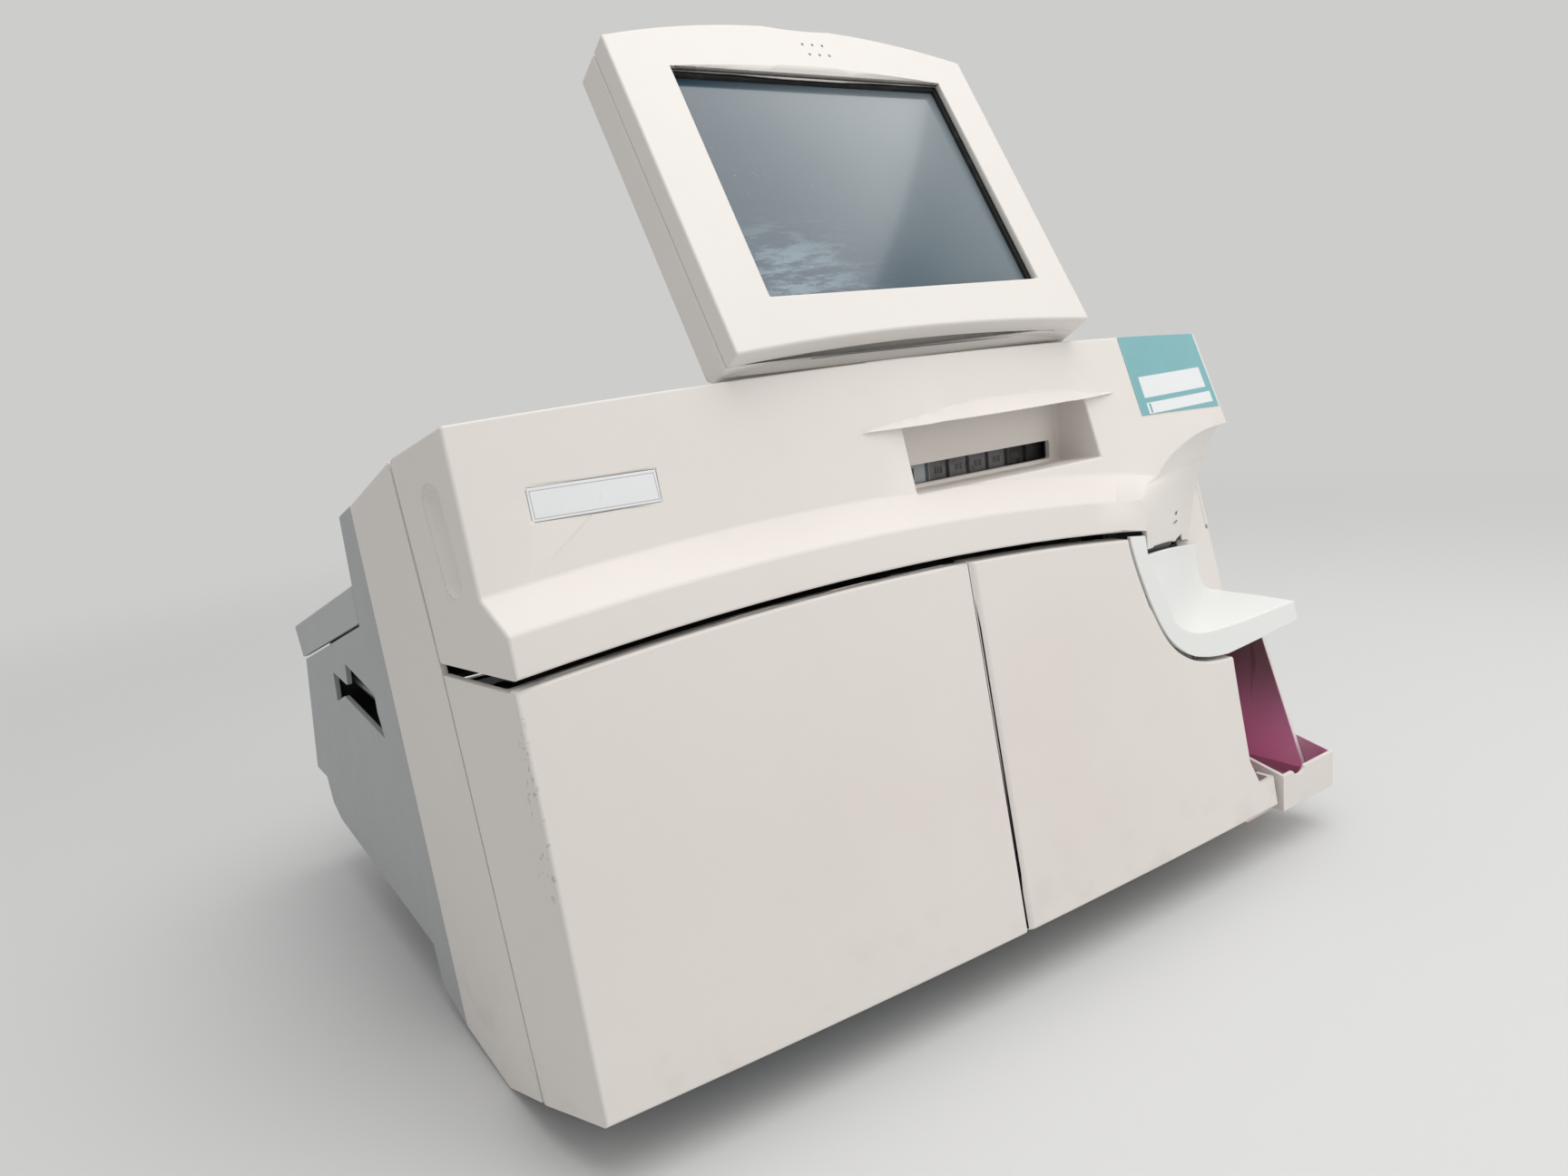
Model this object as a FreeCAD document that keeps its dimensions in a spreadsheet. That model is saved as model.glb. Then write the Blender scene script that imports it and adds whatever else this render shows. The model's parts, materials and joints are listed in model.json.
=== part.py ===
import FreeCAD, Part
import math
import os
import re

import Sketcher
from FreeCAD import Placement, Rotation, Vector

# Blood gas analyzer on a bench: X to the right, Y to the back, Z up from the bench, in millimetres.

doc = FreeCAD.newDocument("blood_gas_analyzer")
sheet = doc.addObject("Spreadsheet::Sheet", "sizes")

# Each size that can be set by itself: name, millimetres (degrees or counts where the name says so).
SIZES = {
    "casing": {
        "casing_half": 295.0,
        "side_slant": 10.0,
        "wall": 3.2,
        "seam": 1.5,
        "overrun": 20.0,
        "rest_gap": 0.3,
        "pin_play": 0.05,
        "low_bulge": 25.0,
        "low_bulge_in": 54.0,
        "top_bulge": 20.0,
        "top_crown": 7.0,
        "arch_x": -85.0,
        "arch_radius": 1650.0,
        "hood_top_y": -160.0,
        "hood_top_z": 362.0,
        "ledge_y": -180.0,
        "ledge_z": 282.0,
        "lip_y": -202.0,
        "lip_z": 267.0,
        "brim_y": -206.0,
        "brim_z": 247.0,
        "seam_top_y": -104.0,
        "seam_top_z": 346.0,
        "seam_mid_y": -134.0,
        "seam_mid_z": 242.0,
        "seam_foot_y": -181.0,
        "seam_foot_z": 22.0,
        "door_top_y": -206.0,
        "door_top_z": 242.0,
        "door_foot_y": -236.0,
        "door_foot_z": 35.0,
        "door_split_x": -20.0,
        "door_flange": 14.0,
        "door_relief": 1.2,
        "frame_top_y": -7.0,
        "frame_top_z": 318.0,
        "frame_foot_y": -60.0,
        "frame_foot_z": 7.0,
        "frame_toe_y": -127.0,
        "frame_toe_z": 2.0,
    },
    "rear casing": {
        "strip_y": 24.0,
        "strip_z": 310.0,
        "lid_front_z": 267.0,
        "lid_rear_y": 240.0,
        "lid_rear_z": 209.0,
        "lid_skirt": 26.0,
        "lid_tuck": 11.0,
        "shoulder_y": 222.0,
        "shoulder_z": 185.0,
        "tail_y": 265.0,
        "tail_z": 85.0,
        "heel_y": 232.0,
        "heel_low_y": 225.0,
        "heel_low_z": 65.0,
        "keel_y": 209.0,
        "keel_z": 58.0,
        "belly_y": -15.0,
        "belly_z": 42.0,
        "ankle_y": -21.0,
        "ankle_z": 16.0,
        "lid_hinge_y": 231.0,
        "lid_hinge_z": 181.0,
        "lid_hinge_x": 200.0,
        "lid_knuckle": 4.0,
        "lid_pin": 2.0,
        "lid_knuckle_long": 14.0,
        "vent_long": 90.0,
        "vent_high": 3.5,
        "vent_pitch": 8.0,
        "vent_count": 7.0,
        "vent_x": -160.0,
        "grip_front_y": 12.0,
        "grip_rear_y": 133.0,
        "grip_low_z": 171.0,
        "grip_high_z": 206.0,
        "grip_deep": 34.0,
        "grip_rod": 4.0,
    },
    "base": {
        "pan_sheet": 2.5,
        "pan_in": 7.0,
        "deck_front_y": -178.0,
        "deck_low_z": 45.0,
        "deck_door_notch": 7.0,
        "deck_step_y": -25.0,
        "deck_high_z": 60.0,
        "deck_rear_y": 205.0,
        "plinth_front_y": -122.0,
        "plinth_rear_y": -36.0,
        "plinth_z": 6.0,
        "plinth_in": 33.0,
        "foot_in": 60.0,
        "foot_front_y": -79.0,
        "foot_rear_y": 175.0,
        "foot_r": 14.0,
        "foot_tall": 6.0,
        "leg_r": 17.0,
        "mid_shelf_z": 236.0,
        "mid_shelf_rear_y": -66.0,
        "mid_shelf_front_y": -125.0,
        "tongue_right_in": 195.0,
    },
    "window": {
        "recess_long": 157.5,
        "recess_in": 168.5,
        "recess_low": 298.5,
        "recess_high": 330.5,
        "recess_back_y": -164.0,
        "recess_drop": 9.0,
        "window_start": 23.0,
        "window_end": 8.5,
        "window_low": 292.0,
        "window_high": 304.0,
        "pane_thick": 2.0,
        "visor_start": 29.6,
        "visor_end": 32.0,
        "visor_rise": 9.0,
        "visor_out": 10.0,
        "plate_in": 41.5,
        "plate_long": 66.5,
        "plate_high": 16.5,
        "plate_low_z": 312.3,
        "plate_thick": 1.2,
        "plate_deep": 1.4,
        "label_in": 113.5,
        "label_long": 99.0,
        "label_high": 53.0,
        "label_low_z": 308.5,
        "label_thick": 0.4,
        "label_film": 0.1,
        "scoop_r": 11.0,
        "scoop_in": 10.0,
        "scoop_top_y": -146.0,
        "scoop_top_z": 327.0,
        "scoop_low_y": -158.0,
        "scoop_low_z": 289.0,
    },
    "sample bay": {
        "cove_low": 205.0,
        "cove_top": 300.0,
        "cove_in": 110.5,
        "cove_y": -205.0,
        "cove_front_y": -262.0,
        "cove_skirt": 12.0,
        "cove_slot": 3.5,
        "bay_panel_y": -158.0,
        "bay_panel_z": 242.0,
        "bay_panel_in": 45.0,
        "bay_panel_high": 276.0,
        "rest_in": 179.4,
        "rest_top": 240.0,
        "rest_bottom": 149.5,
        "rest_turn_in": 97.5,
        "rest_right_in": 10.0,
        "rest_right_low": 153.0,
        "rest_inner_in": 165.0,
        "rest_floor": 167.0,
        "rest_front_y": -238.0,
        "rest_back_y": -172.0,
        "port_in": 77.0,
        "port_y": -189.0,
        "port_z": 217.5,
        "port_turn_degrees": 25.5,
        "port_left": 98.0,
        "port_right": 12.0,
        "port_up": 14.0,
        "port_down": 9.0,
        "port_thick": 3.0,
        "probe_r": 1.2,
        "probe_bore": 0.5,
        "probe_long": 74.0,
        "probe_guide": 3.0,
        "probe_sweep": 20.0,
        "probe_grip": 50.0,
        "carriage": 16.0,
        "rail_r": 3.0,
        "rail_drop": 14.0,
        "rail_end": 110.0,
        "probe_motor_r": 10.0,
        "probe_motor_long": 26.0,
    },
    "bottle well": {
        "well_left_in": 88.0,
        "well_right_in": 3.4,
        "well_back_y": -150.0,
        "well_top": 146.0,
        "well_floor": 24.0,
        "well_front_top_y": -207.0,
        "well_front_low_y": -249.0,
        "well_wall": 2.5,
        "well_side": 4.0,
        "tray_left_in": 64.5,
        "tray_right_in": 0.5,
        "tray_front_y": -262.5,
        "tray_back_y": -182.0,
        "tray_low": 28.5,
        "tray_front_high": 55.0,
        "tray_back_high": 76.0,
        "tray_wall": 2.5,
        "tray_notch": 9.0,
        "tray_notch_deep": 3.6,
        "tray_low_back": 36.0,
        "well_side_low": 38.5,
        "door_edge_in": 91.5,
        "door_toe_in": 67.0,
        "door_notch_low": 55.5,
        "door_notch_high": 73.0,
        "runner": 3.0,
    },
    "screen": {
        "screen_y": -136.0,
        "screen_z": 475.5,
        "screen_lean_degrees": 30.0,
        "bezel_half": 135.0,
        "bezel_x": -3.5,
        "bezel_shoulder": 96.0,
        "bezel_peak": 114.0,
        "bezel_low": -110.0,
        "bezel_low_peak": -104.0,
        "bezel_deep": 14.0,
        "screen_deep": 35.5,
        "screen_foot_cut": 9.0,
        "display_half": 102.7,
        "display_high_half": 77.0,
        "glass_sink": 5.0,
        "gasket_rim": 4.0,
        "gasket_thick": 2.5,
        "panel_thick": 5.0,
        "tilt_y": 29.0,
        "tilt_z": -91.0,
        "tilt_pin": 4.0,
        "tilt_pin_half": 92.0,
        "arm_x": 75.0,
        "arm_thick": 6.0,
        "arm_boss": 7.0,
        "arm_foot_front_y": -96.0,
        "arm_foot_rear_y": -46.0,
        "arm_foot_thick": 4.0,
        "arm_foot_half": 13.0,
        "bolt_r": 3.0,
        "bolt_head": 2.4,
        "speaker_r": 11.0,
        "speaker_x": 9.0,
        "speaker_up": 97.0,
        "speaker_thick": 4.0,
        "brow_rise": 5.5,
        "brow_deep": 4.0,
        "thumb_x": 5.0,
        "thumb_half": 31.0,
        "thumb_deep": 1.8,
    },
    "door hinges": {
        "left_axis_in": 11.0,
        "left_axis_ahead": 22.0,
        "right_axis_off": 6.75,
        "right_axis_behind": 7.0,
        "hinge_pin": 1.8,
        "hinge_knuckle": 3.2,
        "hinge_low_z": 62.0,
        "hinge_high_z": 208.0,
        "hinge_arm_tall": 9.0,
        "hinge_lug_tall": 7.0,
        "hinge_plate_in": 35.0,
        "hinge_plate_thick": 3.0,
        "hinge_plate_half": 9.0,
        "post_off": 14.0,
        "post_wide": 28.0,
        "post_front_y": -176.0,
        "post_deep": 20.0,
        "catch_size": 9.0,
        "catch_thick": 5.0,
    },
    "contents": {
        "reagent_in": 45.0,
        "reagent_off": 10.0,
        "wash_off": 10.0,
        "wash_gap": 8.0,
        "cartridge_front_y": -198.0,
        "cartridge_rear_y": -72.0,
        "cartridge_top": 212.0,
        "cartridge_grip": 40.0,
        "cartridge_grip_deep": 10.0,
        "block_start": 11.0,
        "block_end": 3.5,
        "block_front_y": -140.0,
        "block_rear_y": -92.0,
        "block_top": 312.0,
        "cassette_wide": 14.5,
        "cassette_pitch": 17.5,
        "cassette_count": 7.0,
        "cassette_start": 30.0,
        "cassette_deep": 15.5,
        "cassette_low": 282.0,
        "cassette_tall": 28.0,
        "pump_middle": 40.0,
        "pump_z": 92.0,
        "pump_r": 28.0,
        "pump_deep": 16.0,
        "pump_plate_y": -132.0,
        "pump_plate_thick": 3.0,
        "pump_plate_long": 88.0,
        "pump_plate_gap": 7.0,
        "pump_plate_top": 150.0,
        "pump_rotor_r": 18.0,
        "pump_roller_r": 4.0,
        "pump_roller_count": 6.0,
        "pump_shaft": 2.5,
        "pump_motor_r": 20.0,
        "pump_motor_long": 42.0,
        "board_in": 33.0,
        "board_right": -60.0,
        "board_front_y": 34.0,
        "board_rear_y": 170.0,
        "board_thick": 1.6,
        "spacer_tall": 8.0,
        "spacer_r": 4.0,
        "supply_long": 140.0,
        "supply_in": 63.0,
        "supply_front_y": 40.0,
        "supply_rear_y": 160.0,
        "supply_tall": 62.0,
        "fan_x": -160.0,
        "fan_y": 178.0,
        "fan_size": 80.0,
        "fan_deep": 25.0,
        "fan_bore": 37.0,
        "fan_hub": 13.0,
        "fan_tip": 35.0,
        "fan_blade": 1.6,
        "fan_blades": 7.0,
        "fan_shaft": 2.0,
        "printer_half": 60.0,
        "printer_deep": 80.0,
        "printer_low": 150.0,
        "printer_top": 241.0,
        "printer_cheek": 6.0,
        "roll_r": 19.0,
        "roll_core": 7.0,
        "roll_y": 72.0,
        "roll_z": 226.0,
        "roll_room": 22.5,
        "spindle_r": 4.0,
        "inlet_x": 165.0,
        "inlet_up": 62.0,
        "inlet_wide": 28.0,
        "inlet_tall": 22.0,
        "inlet_deep": 26.0,
        "inlet_rim": 4.0,
        "switch_x": 205.0,
        "switch_wide": 14.0,
        "switch_tall": 22.0,
        "rocker_wide": 9.0,
        "rocker_tall": 17.0,
        "port_pitch": 28.0,
        "port_first_x": 40.0,
        "port_wide": 18.0,
        "port_tall": 12.0,
    },
}

# Places that follow from the sizes: each a formula.
PLACES = {
    "corner_half": "casing_half-side_slant",
    "low_bulge_x": "casing_half-low_bulge_in",
    "pan_half": "casing_half-pan_in",
    "plinth_half": "casing_half-plinth_in",
    "foot_x": "casing_half-foot_in",
    "tongue_right_x": "casing_half-tongue_right_in",
    "recess_right": "casing_half-recess_in",
    "recess_left": "recess_right-recess_long",
    "window_left": "recess_left+window_start",
    "window_right": "recess_right-window_end",
    "visor_left": "recess_left-visor_start",
    "visor_right": "recess_right+visor_end",
    "plate_left": "plate_in-casing_half",
    "label_left": "casing_half-label_in",
    "cove_x": "casing_half-cove_in",
    "bay_panel_left": "casing_half-bay_panel_in",
    "rest_left": "casing_half-rest_in",
    "rest_turn_x": "casing_half-rest_turn_in",
    "rest_right": "casing_half-rest_right_in",
    "rest_inner": "casing_half-rest_inner_in",
    "port_x": "casing_half-port_in",
    "well_left": "casing_half-well_left_in",
    "well_right": "casing_half-well_right_in",
    "tray_left": "casing_half-tray_left_in",
    "tray_right": "casing_half-tray_right_in",
    "door_edge_x": "casing_half-door_edge_in",
    "door_toe_x": "casing_half-door_toe_in",
    "left_axis_x": "left_axis_in-casing_half",
    "right_axis_x": "door_split_x+right_axis_off",
    "hinge_plate_x": "hinge_plate_in-casing_half",
    "post_left": "door_split_x-post_off",
    "post_right": "post_left+post_wide",
    "reagent_left": "reagent_in-casing_half",
    "reagent_right": "post_left-reagent_off",
    "pump_plate_right": "well_left-pump_plate_gap",
    "pump_plate_left": "pump_plate_right-pump_plate_long",
    "pump_x": "pump_plate_left+pump_middle",
    "wash_left": "post_right+wash_off",
    "wash_right": "pump_plate_left-wash_gap",
    "block_left": "recess_left+block_start",
    "block_right": "recess_right+block_end",
    "cassette_first_x": "recess_left+cassette_start",
    "board_left": "board_in-casing_half",
    "supply_right": "casing_half-supply_in",
    "supply_left": "supply_right-supply_long",
}


def fill_sheet():
    row = 1
    for group, values in SIZES.items():
        sheet.set(f"A{row}", group)
        row += 1
        for alias, number in values.items():
            sheet.set(f"A{row}", alias)
            sheet.set(f"B{row}", f"{number}")
            sheet.setAlias(f"B{row}", alias)
            row += 1
    doc.recompute()


fill_sheet()


def size(alias):
    """A size from the sheet, or a place that follows from the sizes."""
    return eval_formula(alias) if alias in PLACES else float(sheet.get(alias))


def formula(text):
    """A formula of sizes and places as the sheet's cells give them."""
    def cell(word):
        name = word.group(0)
        return f"({formula(PLACES[name])})" if name in PLACES else f"sizes.{name}"
    return re.sub(r"[a-z][a-z_]*", cell, str(text))


def bind(obj, **bindings):
    for name, text in bindings.items():
        obj.setExpression(name.replace("__", "."), formula(text))


def seat(obj, at, turn=None):
    obj.Placement = Placement(Vector(), turn or Rotation())
    bind(obj, Placement__Base__x=at[0], Placement__Base__y=at[1], Placement__Base__z=at[2])
    return obj


ALONG = {
    "x": Rotation(Vector(0, 1, 0), 90),
    "y": Rotation(Vector(1, 0, 0), -90),
    "z": Rotation(),
}


def box(name, low, high):
    """A box between two corners, each a triple of formulas."""
    piece = doc.addObject("Part::Box", name)
    for prop, a, b in zip(("Length", "Width", "Height"), low, high):
        bind(piece, **{prop: f"({b})-({a})"})
    return seat(piece, low)


def rod(name, radius, long, at, along="z"):
    piece = doc.addObject("Part::Cylinder", name)
    bind(piece, Radius=radius, Height=long)
    return seat(piece, at, ALONG[along])


def shape_object(name, shape):
    piece = doc.addObject("Part::Feature", name)
    piece.Shape = shape
    return piece


def cut(name, base, tool):
    piece = doc.addObject("Part::Cut", name)
    piece.Base = base
    piece.Tool = tool if not isinstance(tool, list) else fuse(name + "_tools", tool)
    return piece


def fuse(name, shapes):
    piece = doc.addObject("Part::MultiFuse", name)
    piece.Shapes = shapes
    return piece


def group(name, shapes):
    piece = doc.addObject("Part::Compound", name)
    piece.Links = shapes
    return piece


NODES = {}


def node(name, piece):
    piece.Label = name
    NODES[name] = piece
    return piece


def origin_plane(body, role):
    return next(item for item in body.Origin.OriginFeatures if item.Role == role)


def sketch_on(body, name, role, offset="0"):
    """A sketch on one of the body's own planes, moved off it by a formula."""
    sketch = body.newObject("Sketcher::SketchObject", name)
    sketch.AttachmentSupport = [(origin_plane(body, role), "")]
    sketch.MapMode = "FlatFace"
    bind(sketch, AttachmentOffset__Base__z=offset)
    return sketch


def fix_point(sketch, geometry, end, right, up):
    for kind, text in (("DistanceX", right), ("DistanceY", up)):
        index = sketch.addConstraint(Sketcher.Constraint(kind, -1, 1, geometry, end, 1.0))
        bind(sketch, **{f"Constraints[{index}]": text})


def draw_outline(sketch, points):
    """A closed outline of straight lines; each point is a pair of formulas."""
    places = [Vector(eval_formula(a), eval_formula(b), 0) for a, b in points]
    first = None
    for i, start in enumerate(places):
        line = sketch.addGeometry(Part.LineSegment(start, places[(i + 1) % len(places)]), False)
        first = line if first is None else first
    for i in range(len(points)):
        following = first + (i + 1) % len(points)
        sketch.addConstraint(Sketcher.Constraint("Coincident", first + i, 2, following, 1))
    for i, (a, b) in enumerate(points):
        fix_point(sketch, first + i, 1, a, b)


def draw_circle(sketch, radius, right="0", up="0"):
    centre = Vector(eval_formula(right), eval_formula(up), 0)
    ring = sketch.addGeometry(Part.Circle(centre, Vector(0, 0, 1), eval_formula(radius)), False)
    index = sketch.addConstraint(Sketcher.Constraint("Radius", ring, eval_formula(radius)))
    bind(sketch, **{f"Constraints[{index}]": radius})
    if right == "0" and up == "0":
        sketch.addConstraint(Sketcher.Constraint("Coincident", ring, 3, -1, 1))
    else:
        fix_point(sketch, ring, 3, right, up)


def eval_formula(text):
    """The number that a formula of aliases gives now."""
    probe = doc.getObject("probe_cell") or doc.addObject("App::FeaturePython", "probe_cell")
    if not hasattr(probe, "Value"):
        probe.addProperty("App::PropertyFloat", "Value")
    return float(probe.evalExpression(formula(text)))


def pad(body, sketch, name, long, reverse=False):
    feature = body.newObject("PartDesign::Pad", name)
    feature.Profile = sketch
    feature.Reversed = reverse
    bind(feature, Length=long)
    return feature


def pocket(body, sketch, name, deep, reverse=False):
    feature = body.newObject("PartDesign::Pocket", name)
    feature.Profile = sketch
    feature.Reversed = reverse
    bind(feature, Length=deep)
    return feature


def new_body(name, at):
    return seat(doc.addObject("PartDesign::Body", name), at)


# The front casing's curves


def low_bulge(x):
    reach = size("corner_half") + size("low_bulge_x")
    return size("low_bulge") * (1 - ((x - size("low_bulge_x")) / reach) ** 2)


def crown(x):
    return 1 - (x / size("corner_half")) ** 2


def droop(x):
    """How far the arched lines lie below their height at the left corner."""
    left = -size("corner_half") - size("arch_x")
    return ((x - size("arch_x")) ** 2 - left ** 2) / (2 * size("arch_radius"))


def line_at(z, low, high):
    """y on the line through two (y, z) points at a height z."""
    return low[0] + (z - low[1]) * (high[0] - low[0]) / (high[1] - low[1])


def pair(name):
    return size(name + "_y"), size(name + "_z")


def seam_y(z):
    if z > size("seam_mid_z"):
        return line_at(z, pair("seam_mid"), pair("seam_top"))
    return line_at(z, pair("seam_foot"), pair("seam_mid"))


def hood_front(x):
    """The hood's front outline at x, from its top edge down to its brim."""
    low = low_bulge(x)
    top = size("top_bulge") * crown(x)
    return [
        (size("hood_top_y") - top, size("hood_top_z") + size("top_crown") * crown(x)),
        (size("ledge_y") - low, size("ledge_z") - droop(x)),
        (size("lip_y") - low, size("lip_z") - droop(x)),
        (size("brim_y") - low, size("brim_z") - droop(x)),
    ]


def hood_face_y(x, z):
    top, ledge = hood_front(x)[:2]
    return line_at(z, ledge, top)


def door_top(x):
    return size("door_top_y") - low_bulge(x), size("door_top_z") - droop(x)


def door_face_y(x, z):
    return line_at(z, (size("door_foot_y") - low_bulge(x), size("door_foot_z")), door_top(x))


STATIONS = 9


def loft_across(left, right, outline, stations=STATIONS):
    """A solid through outlines of (y, z) points at even steps from left to right."""
    wires = []
    for i in range(stations):
        x = left + (right - left) * i / (stations - 1)
        points = [Vector(x, y, z) for y, z in outline(x)]
        wires.append(Part.makePolygon(points + points[:1]))
    return solid_through(wires, False)


def solid_through(wires, ruled):
    solid = Part.makeLoft(wires, True, ruled)
    if solid.Volume < 0:
        solid.reverse()
    return solid


def slab(points, left, right):
    """A (y, z) outline pushed from left to right."""
    corners = [Vector(left, y, z) for y, z in points]
    face = Part.Face(Part.makePolygon(corners + corners[:1]))
    return face.extrude(Vector(right - left, 0, 0))


def plate_xz(points, front, back):
    """An (x, z) outline pushed from front to back."""
    corners = [Vector(x, front, z) for x, z in points]
    face = Part.Face(Part.makePolygon(corners + corners[:1]))
    return face.extrude(Vector(0, back - front, 0))


def block(low, high):
    return Part.makeBox(high[0] - low[0], high[1] - low[1], high[2] - low[2], Vector(*low))


def side_wedge(side, front_line, inward=0.0):
    """What lies outside the casing's slanted side: side is -1 for the left, 1 for the right."""
    corner = size("corner_half") - inward
    half = size("casing_half") - inward
    over = size("overrun")
    sections = []
    for z in (-over, size("hood_top_z") + over):
        front = line_at(z, *front_line)
        rear = line_at(z, pair("seam_foot"), pair("seam_mid"))
        slope = (half - corner) / (rear - front)
        ahead = (over + size("low_bulge")) * 2
        outline = [
            (corner - slope * ahead, front - ahead),
            (half, rear),
            (half, rear + ahead),
            (half + over, rear + ahead),
            (half + over, front - ahead),
        ]
        points = [Vector(side * x, y, z) for x, y in outline]
        sections.append(Part.makePolygon(points + points[:1]))
    return solid_through(sections, True)


# Base


def build_base():
    sheet_z = "pan_sheet"
    front = box("deck_front", ("-pan_half", "deck_front_y", f"deck_low_z-{sheet_z}"),
                ("pan_half", f"deck_step_y+{sheet_z}", "deck_low_z"))
    riser = box("deck_riser", ("-pan_half", "deck_step_y", f"deck_low_z-{sheet_z}"),
                ("pan_half", f"deck_step_y+{sheet_z}", "deck_high_z"))
    rear = box("deck_rear", ("-pan_half", "deck_step_y", f"deck_high_z-{sheet_z}"),
               ("pan_half", "deck_rear_y", "deck_high_z"))
    plinth = box("plinth_block", ("-plinth_half", "plinth_front_y", "plinth_z"),
                 ("plinth_half", "plinth_rear_y", f"deck_low_z-{sheet_z}/2"))
    hollow = box("plinth_hollow",
                 (f"-plinth_half+{sheet_z}", f"plinth_front_y+{sheet_z}", f"plinth_z+{sheet_z}"),
                 (f"plinth_half-{sheet_z}", f"plinth_rear_y-{sheet_z}", f"deck_low_z-{sheet_z}"))
    channel = cut("plinth_channel", plinth, hollow)
    corner = box("deck_corner", ("well_left-seam", "deck_front_y-overrun", "deck_low_z-overrun"),
                 ("pan_half+overrun", "well_back_y+seam", "deck_low_z+overrun"))
    door_room = box("deck_door_room", ("-pan_half-overrun", "deck_front_y-overrun", "deck_low_z-overrun"),
                    ("hinge_plate_x", "deck_front_y+deck_door_notch", "deck_low_z+overrun"))
    node("base_pan", cut("base_pan", fuse("deck", [front, riser, rear, channel]), [corner, door_room]))
    legs = []
    for side in ("-", ""):
        tag = "left" if side else "right"
        legs.append(rod(f"leg_{tag}", "leg_r", "deck_high_z-pan_sheet-foot_tall",
                        (f"{side}foot_x", "foot_rear_y", "foot_tall")))
    node("rear_legs", group("rear_legs", legs))
    pads = []
    for side in ("-", ""):
        for place in ("foot_front_y", "foot_rear_y"):
            tag = ("left" if side else "right") + "_" + place.split("_")[1]
            pads.append(rod(f"pad_{tag}", "foot_r", "foot_tall", (f"{side}foot_x", place, "0")))
    node("rubber_feet", group("rubber_feet", pads))


# White casing


def build_mid_frame():
    gap = size("seam")
    wall = size("wall")
    half = size("casing_half")
    over = size("overrun")
    outline = [
        (size("seam_top_y") + gap, size("seam_top_z")),
        pair("frame_top"),
        pair("frame_foot"),
        pair("frame_toe"),
        (size("seam_foot_y") + gap, size("seam_foot_z")),
        (size("seam_mid_y") + gap, size("seam_mid_z")),
    ]
    outer = slab(outline, -half, half)
    top, back = outline[0], outline[1]
    rise = (back[1] - top[1]) / (back[0] - top[0])
    front_y = size("seam_foot_y") - over
    back_y = size("frame_top_y") + over
    hollow = [
        (front_y, top[1] - wall + rise * (front_y - top[0])),
        (back_y, top[1] - wall + rise * (back_y - top[0])),
        (back_y, -over),
        (front_y, -over),
    ]
    inner = slab(hollow, -half + wall, half - wall)
    node("mid_frame", shape_object("mid_frame", outer.cut(inner)))


def hood_outline(inset):
    """The hood's section: closed outline at x, with its walls taken off where inset is not zero."""
    over = size("overrun") if inset else 0.0
    top_slope = (size("frame_top_z") - size("seam_top_z")) / (size("frame_top_y") - size("seam_top_y"))

    def outline(x):
        top, ledge, lip, brim = hood_front(x)
        brim_z = brim[1] - over
        ease = size("rest_gap") * 2
        return [
            (size("seam_top_y") - ease + over, size("seam_top_z") + top_slope * (over - ease) - inset),
            (top[0] + inset, top[1] - inset),
            (ledge[0] + inset, ledge[1] - inset * 0.4),
            (lip[0] + inset, lip[1] - inset * 0.9),
            (brim[0] + inset, brim_z),
            (seam_y(brim_z) - ease + over, brim_z),
        ]
    return outline


COVE_HEIGHT_SHARES = (0, 0.326, 0.474, 0.61, 0.67, 0.71, 0.77, 0.863, 0.926, 0.957, 1.0, 1.04)
COVE_ACROSS_SHARES = (0, 0, 0, -0.01, -0.05, -0.08, -0.06, 0.025, 0.14, 0.36, 0.95, 1.5)
COVE_SLOPES = (2.1, 2.1, 2.2, 2.44, 2.65, 2.9, 3.02, 3.2, 3.3, 3.3, 3.2, 3.2)
PANEL_LEAN = 0.25
COVE_WALL_SLOPE = 2.6


def panel_y(z):
    return size("bay_panel_y") + (z - size("bay_panel_z")) * PANEL_LEAN


def smooth_edge(points, y, steps=None):
    """A smooth edge through (x, z) points; steps are its parameters at them."""
    curve = Part.BSplineCurve()
    places = [Vector(x, y, z) for x, z in points]
    if steps:
        curve.interpolate(Points=places, Parameters=steps)
    else:
        curve.interpolate(places)
    return curve.toShape()


def chord_steps(outlines):
    """Parameters for several outlines with the same number of points, from their mean spacing."""
    steps = [0.0]
    for i in range(1, len(outlines[0])):
        gaps = [math.dist(outline[i], outline[i - 1]) for outline in outlines]
        steps.append(steps[-1] + sum(gaps) / len(gaps))
    return steps


def cove_between(outlines, levels, far):
    """A ruled solid between two smooth outlines of (x, z) points, closed far to the right."""
    steps = chord_steps(outlines)
    wires = []
    for points, y in zip(outlines, levels):
        first, last = points[0], points[-1]
        edges = [smooth_edge(points, y, steps)]
        corners = [last, (far, last[1]), (far, first[1]), first]
        for a, b in zip(corners, corners[1:]):
            edges.append(Part.makeLine(Vector(a[0], y, a[1]), Vector(b[0], y, b[1])))
        wires.append(Part.Wire(edges))
    return solid_through(wires, True)


def bay_solid(grow):
    """The space under the hood's right end, back to the bay's panel; grown for the wall beside it."""
    span = size("cove_top") - size("cove_low")
    reach = size("corner_half") - size("cove_x")
    levels = (size("cove_front_y"), size("bay_panel_y") + size("overrun"))
    outlines = []
    for y in levels:
        points = []
        for high, across, slope in zip(COVE_HEIGHT_SHARES, COVE_ACROSS_SHARES, COVE_SLOPES):
            x = size("cove_x") + reach * across + slope * (y - size("cove_y"))
            points.append((x, size("cove_low") + span * high))
        outlines.append(points)
    solid = cove_between(outlines, levels, size("casing_half") * 3)
    solid.translate(Vector(-grow * COVE_WALL_SLOPE, 0, grow))
    return solid.cut(behind_panel(size("rest_gap")))


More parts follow.
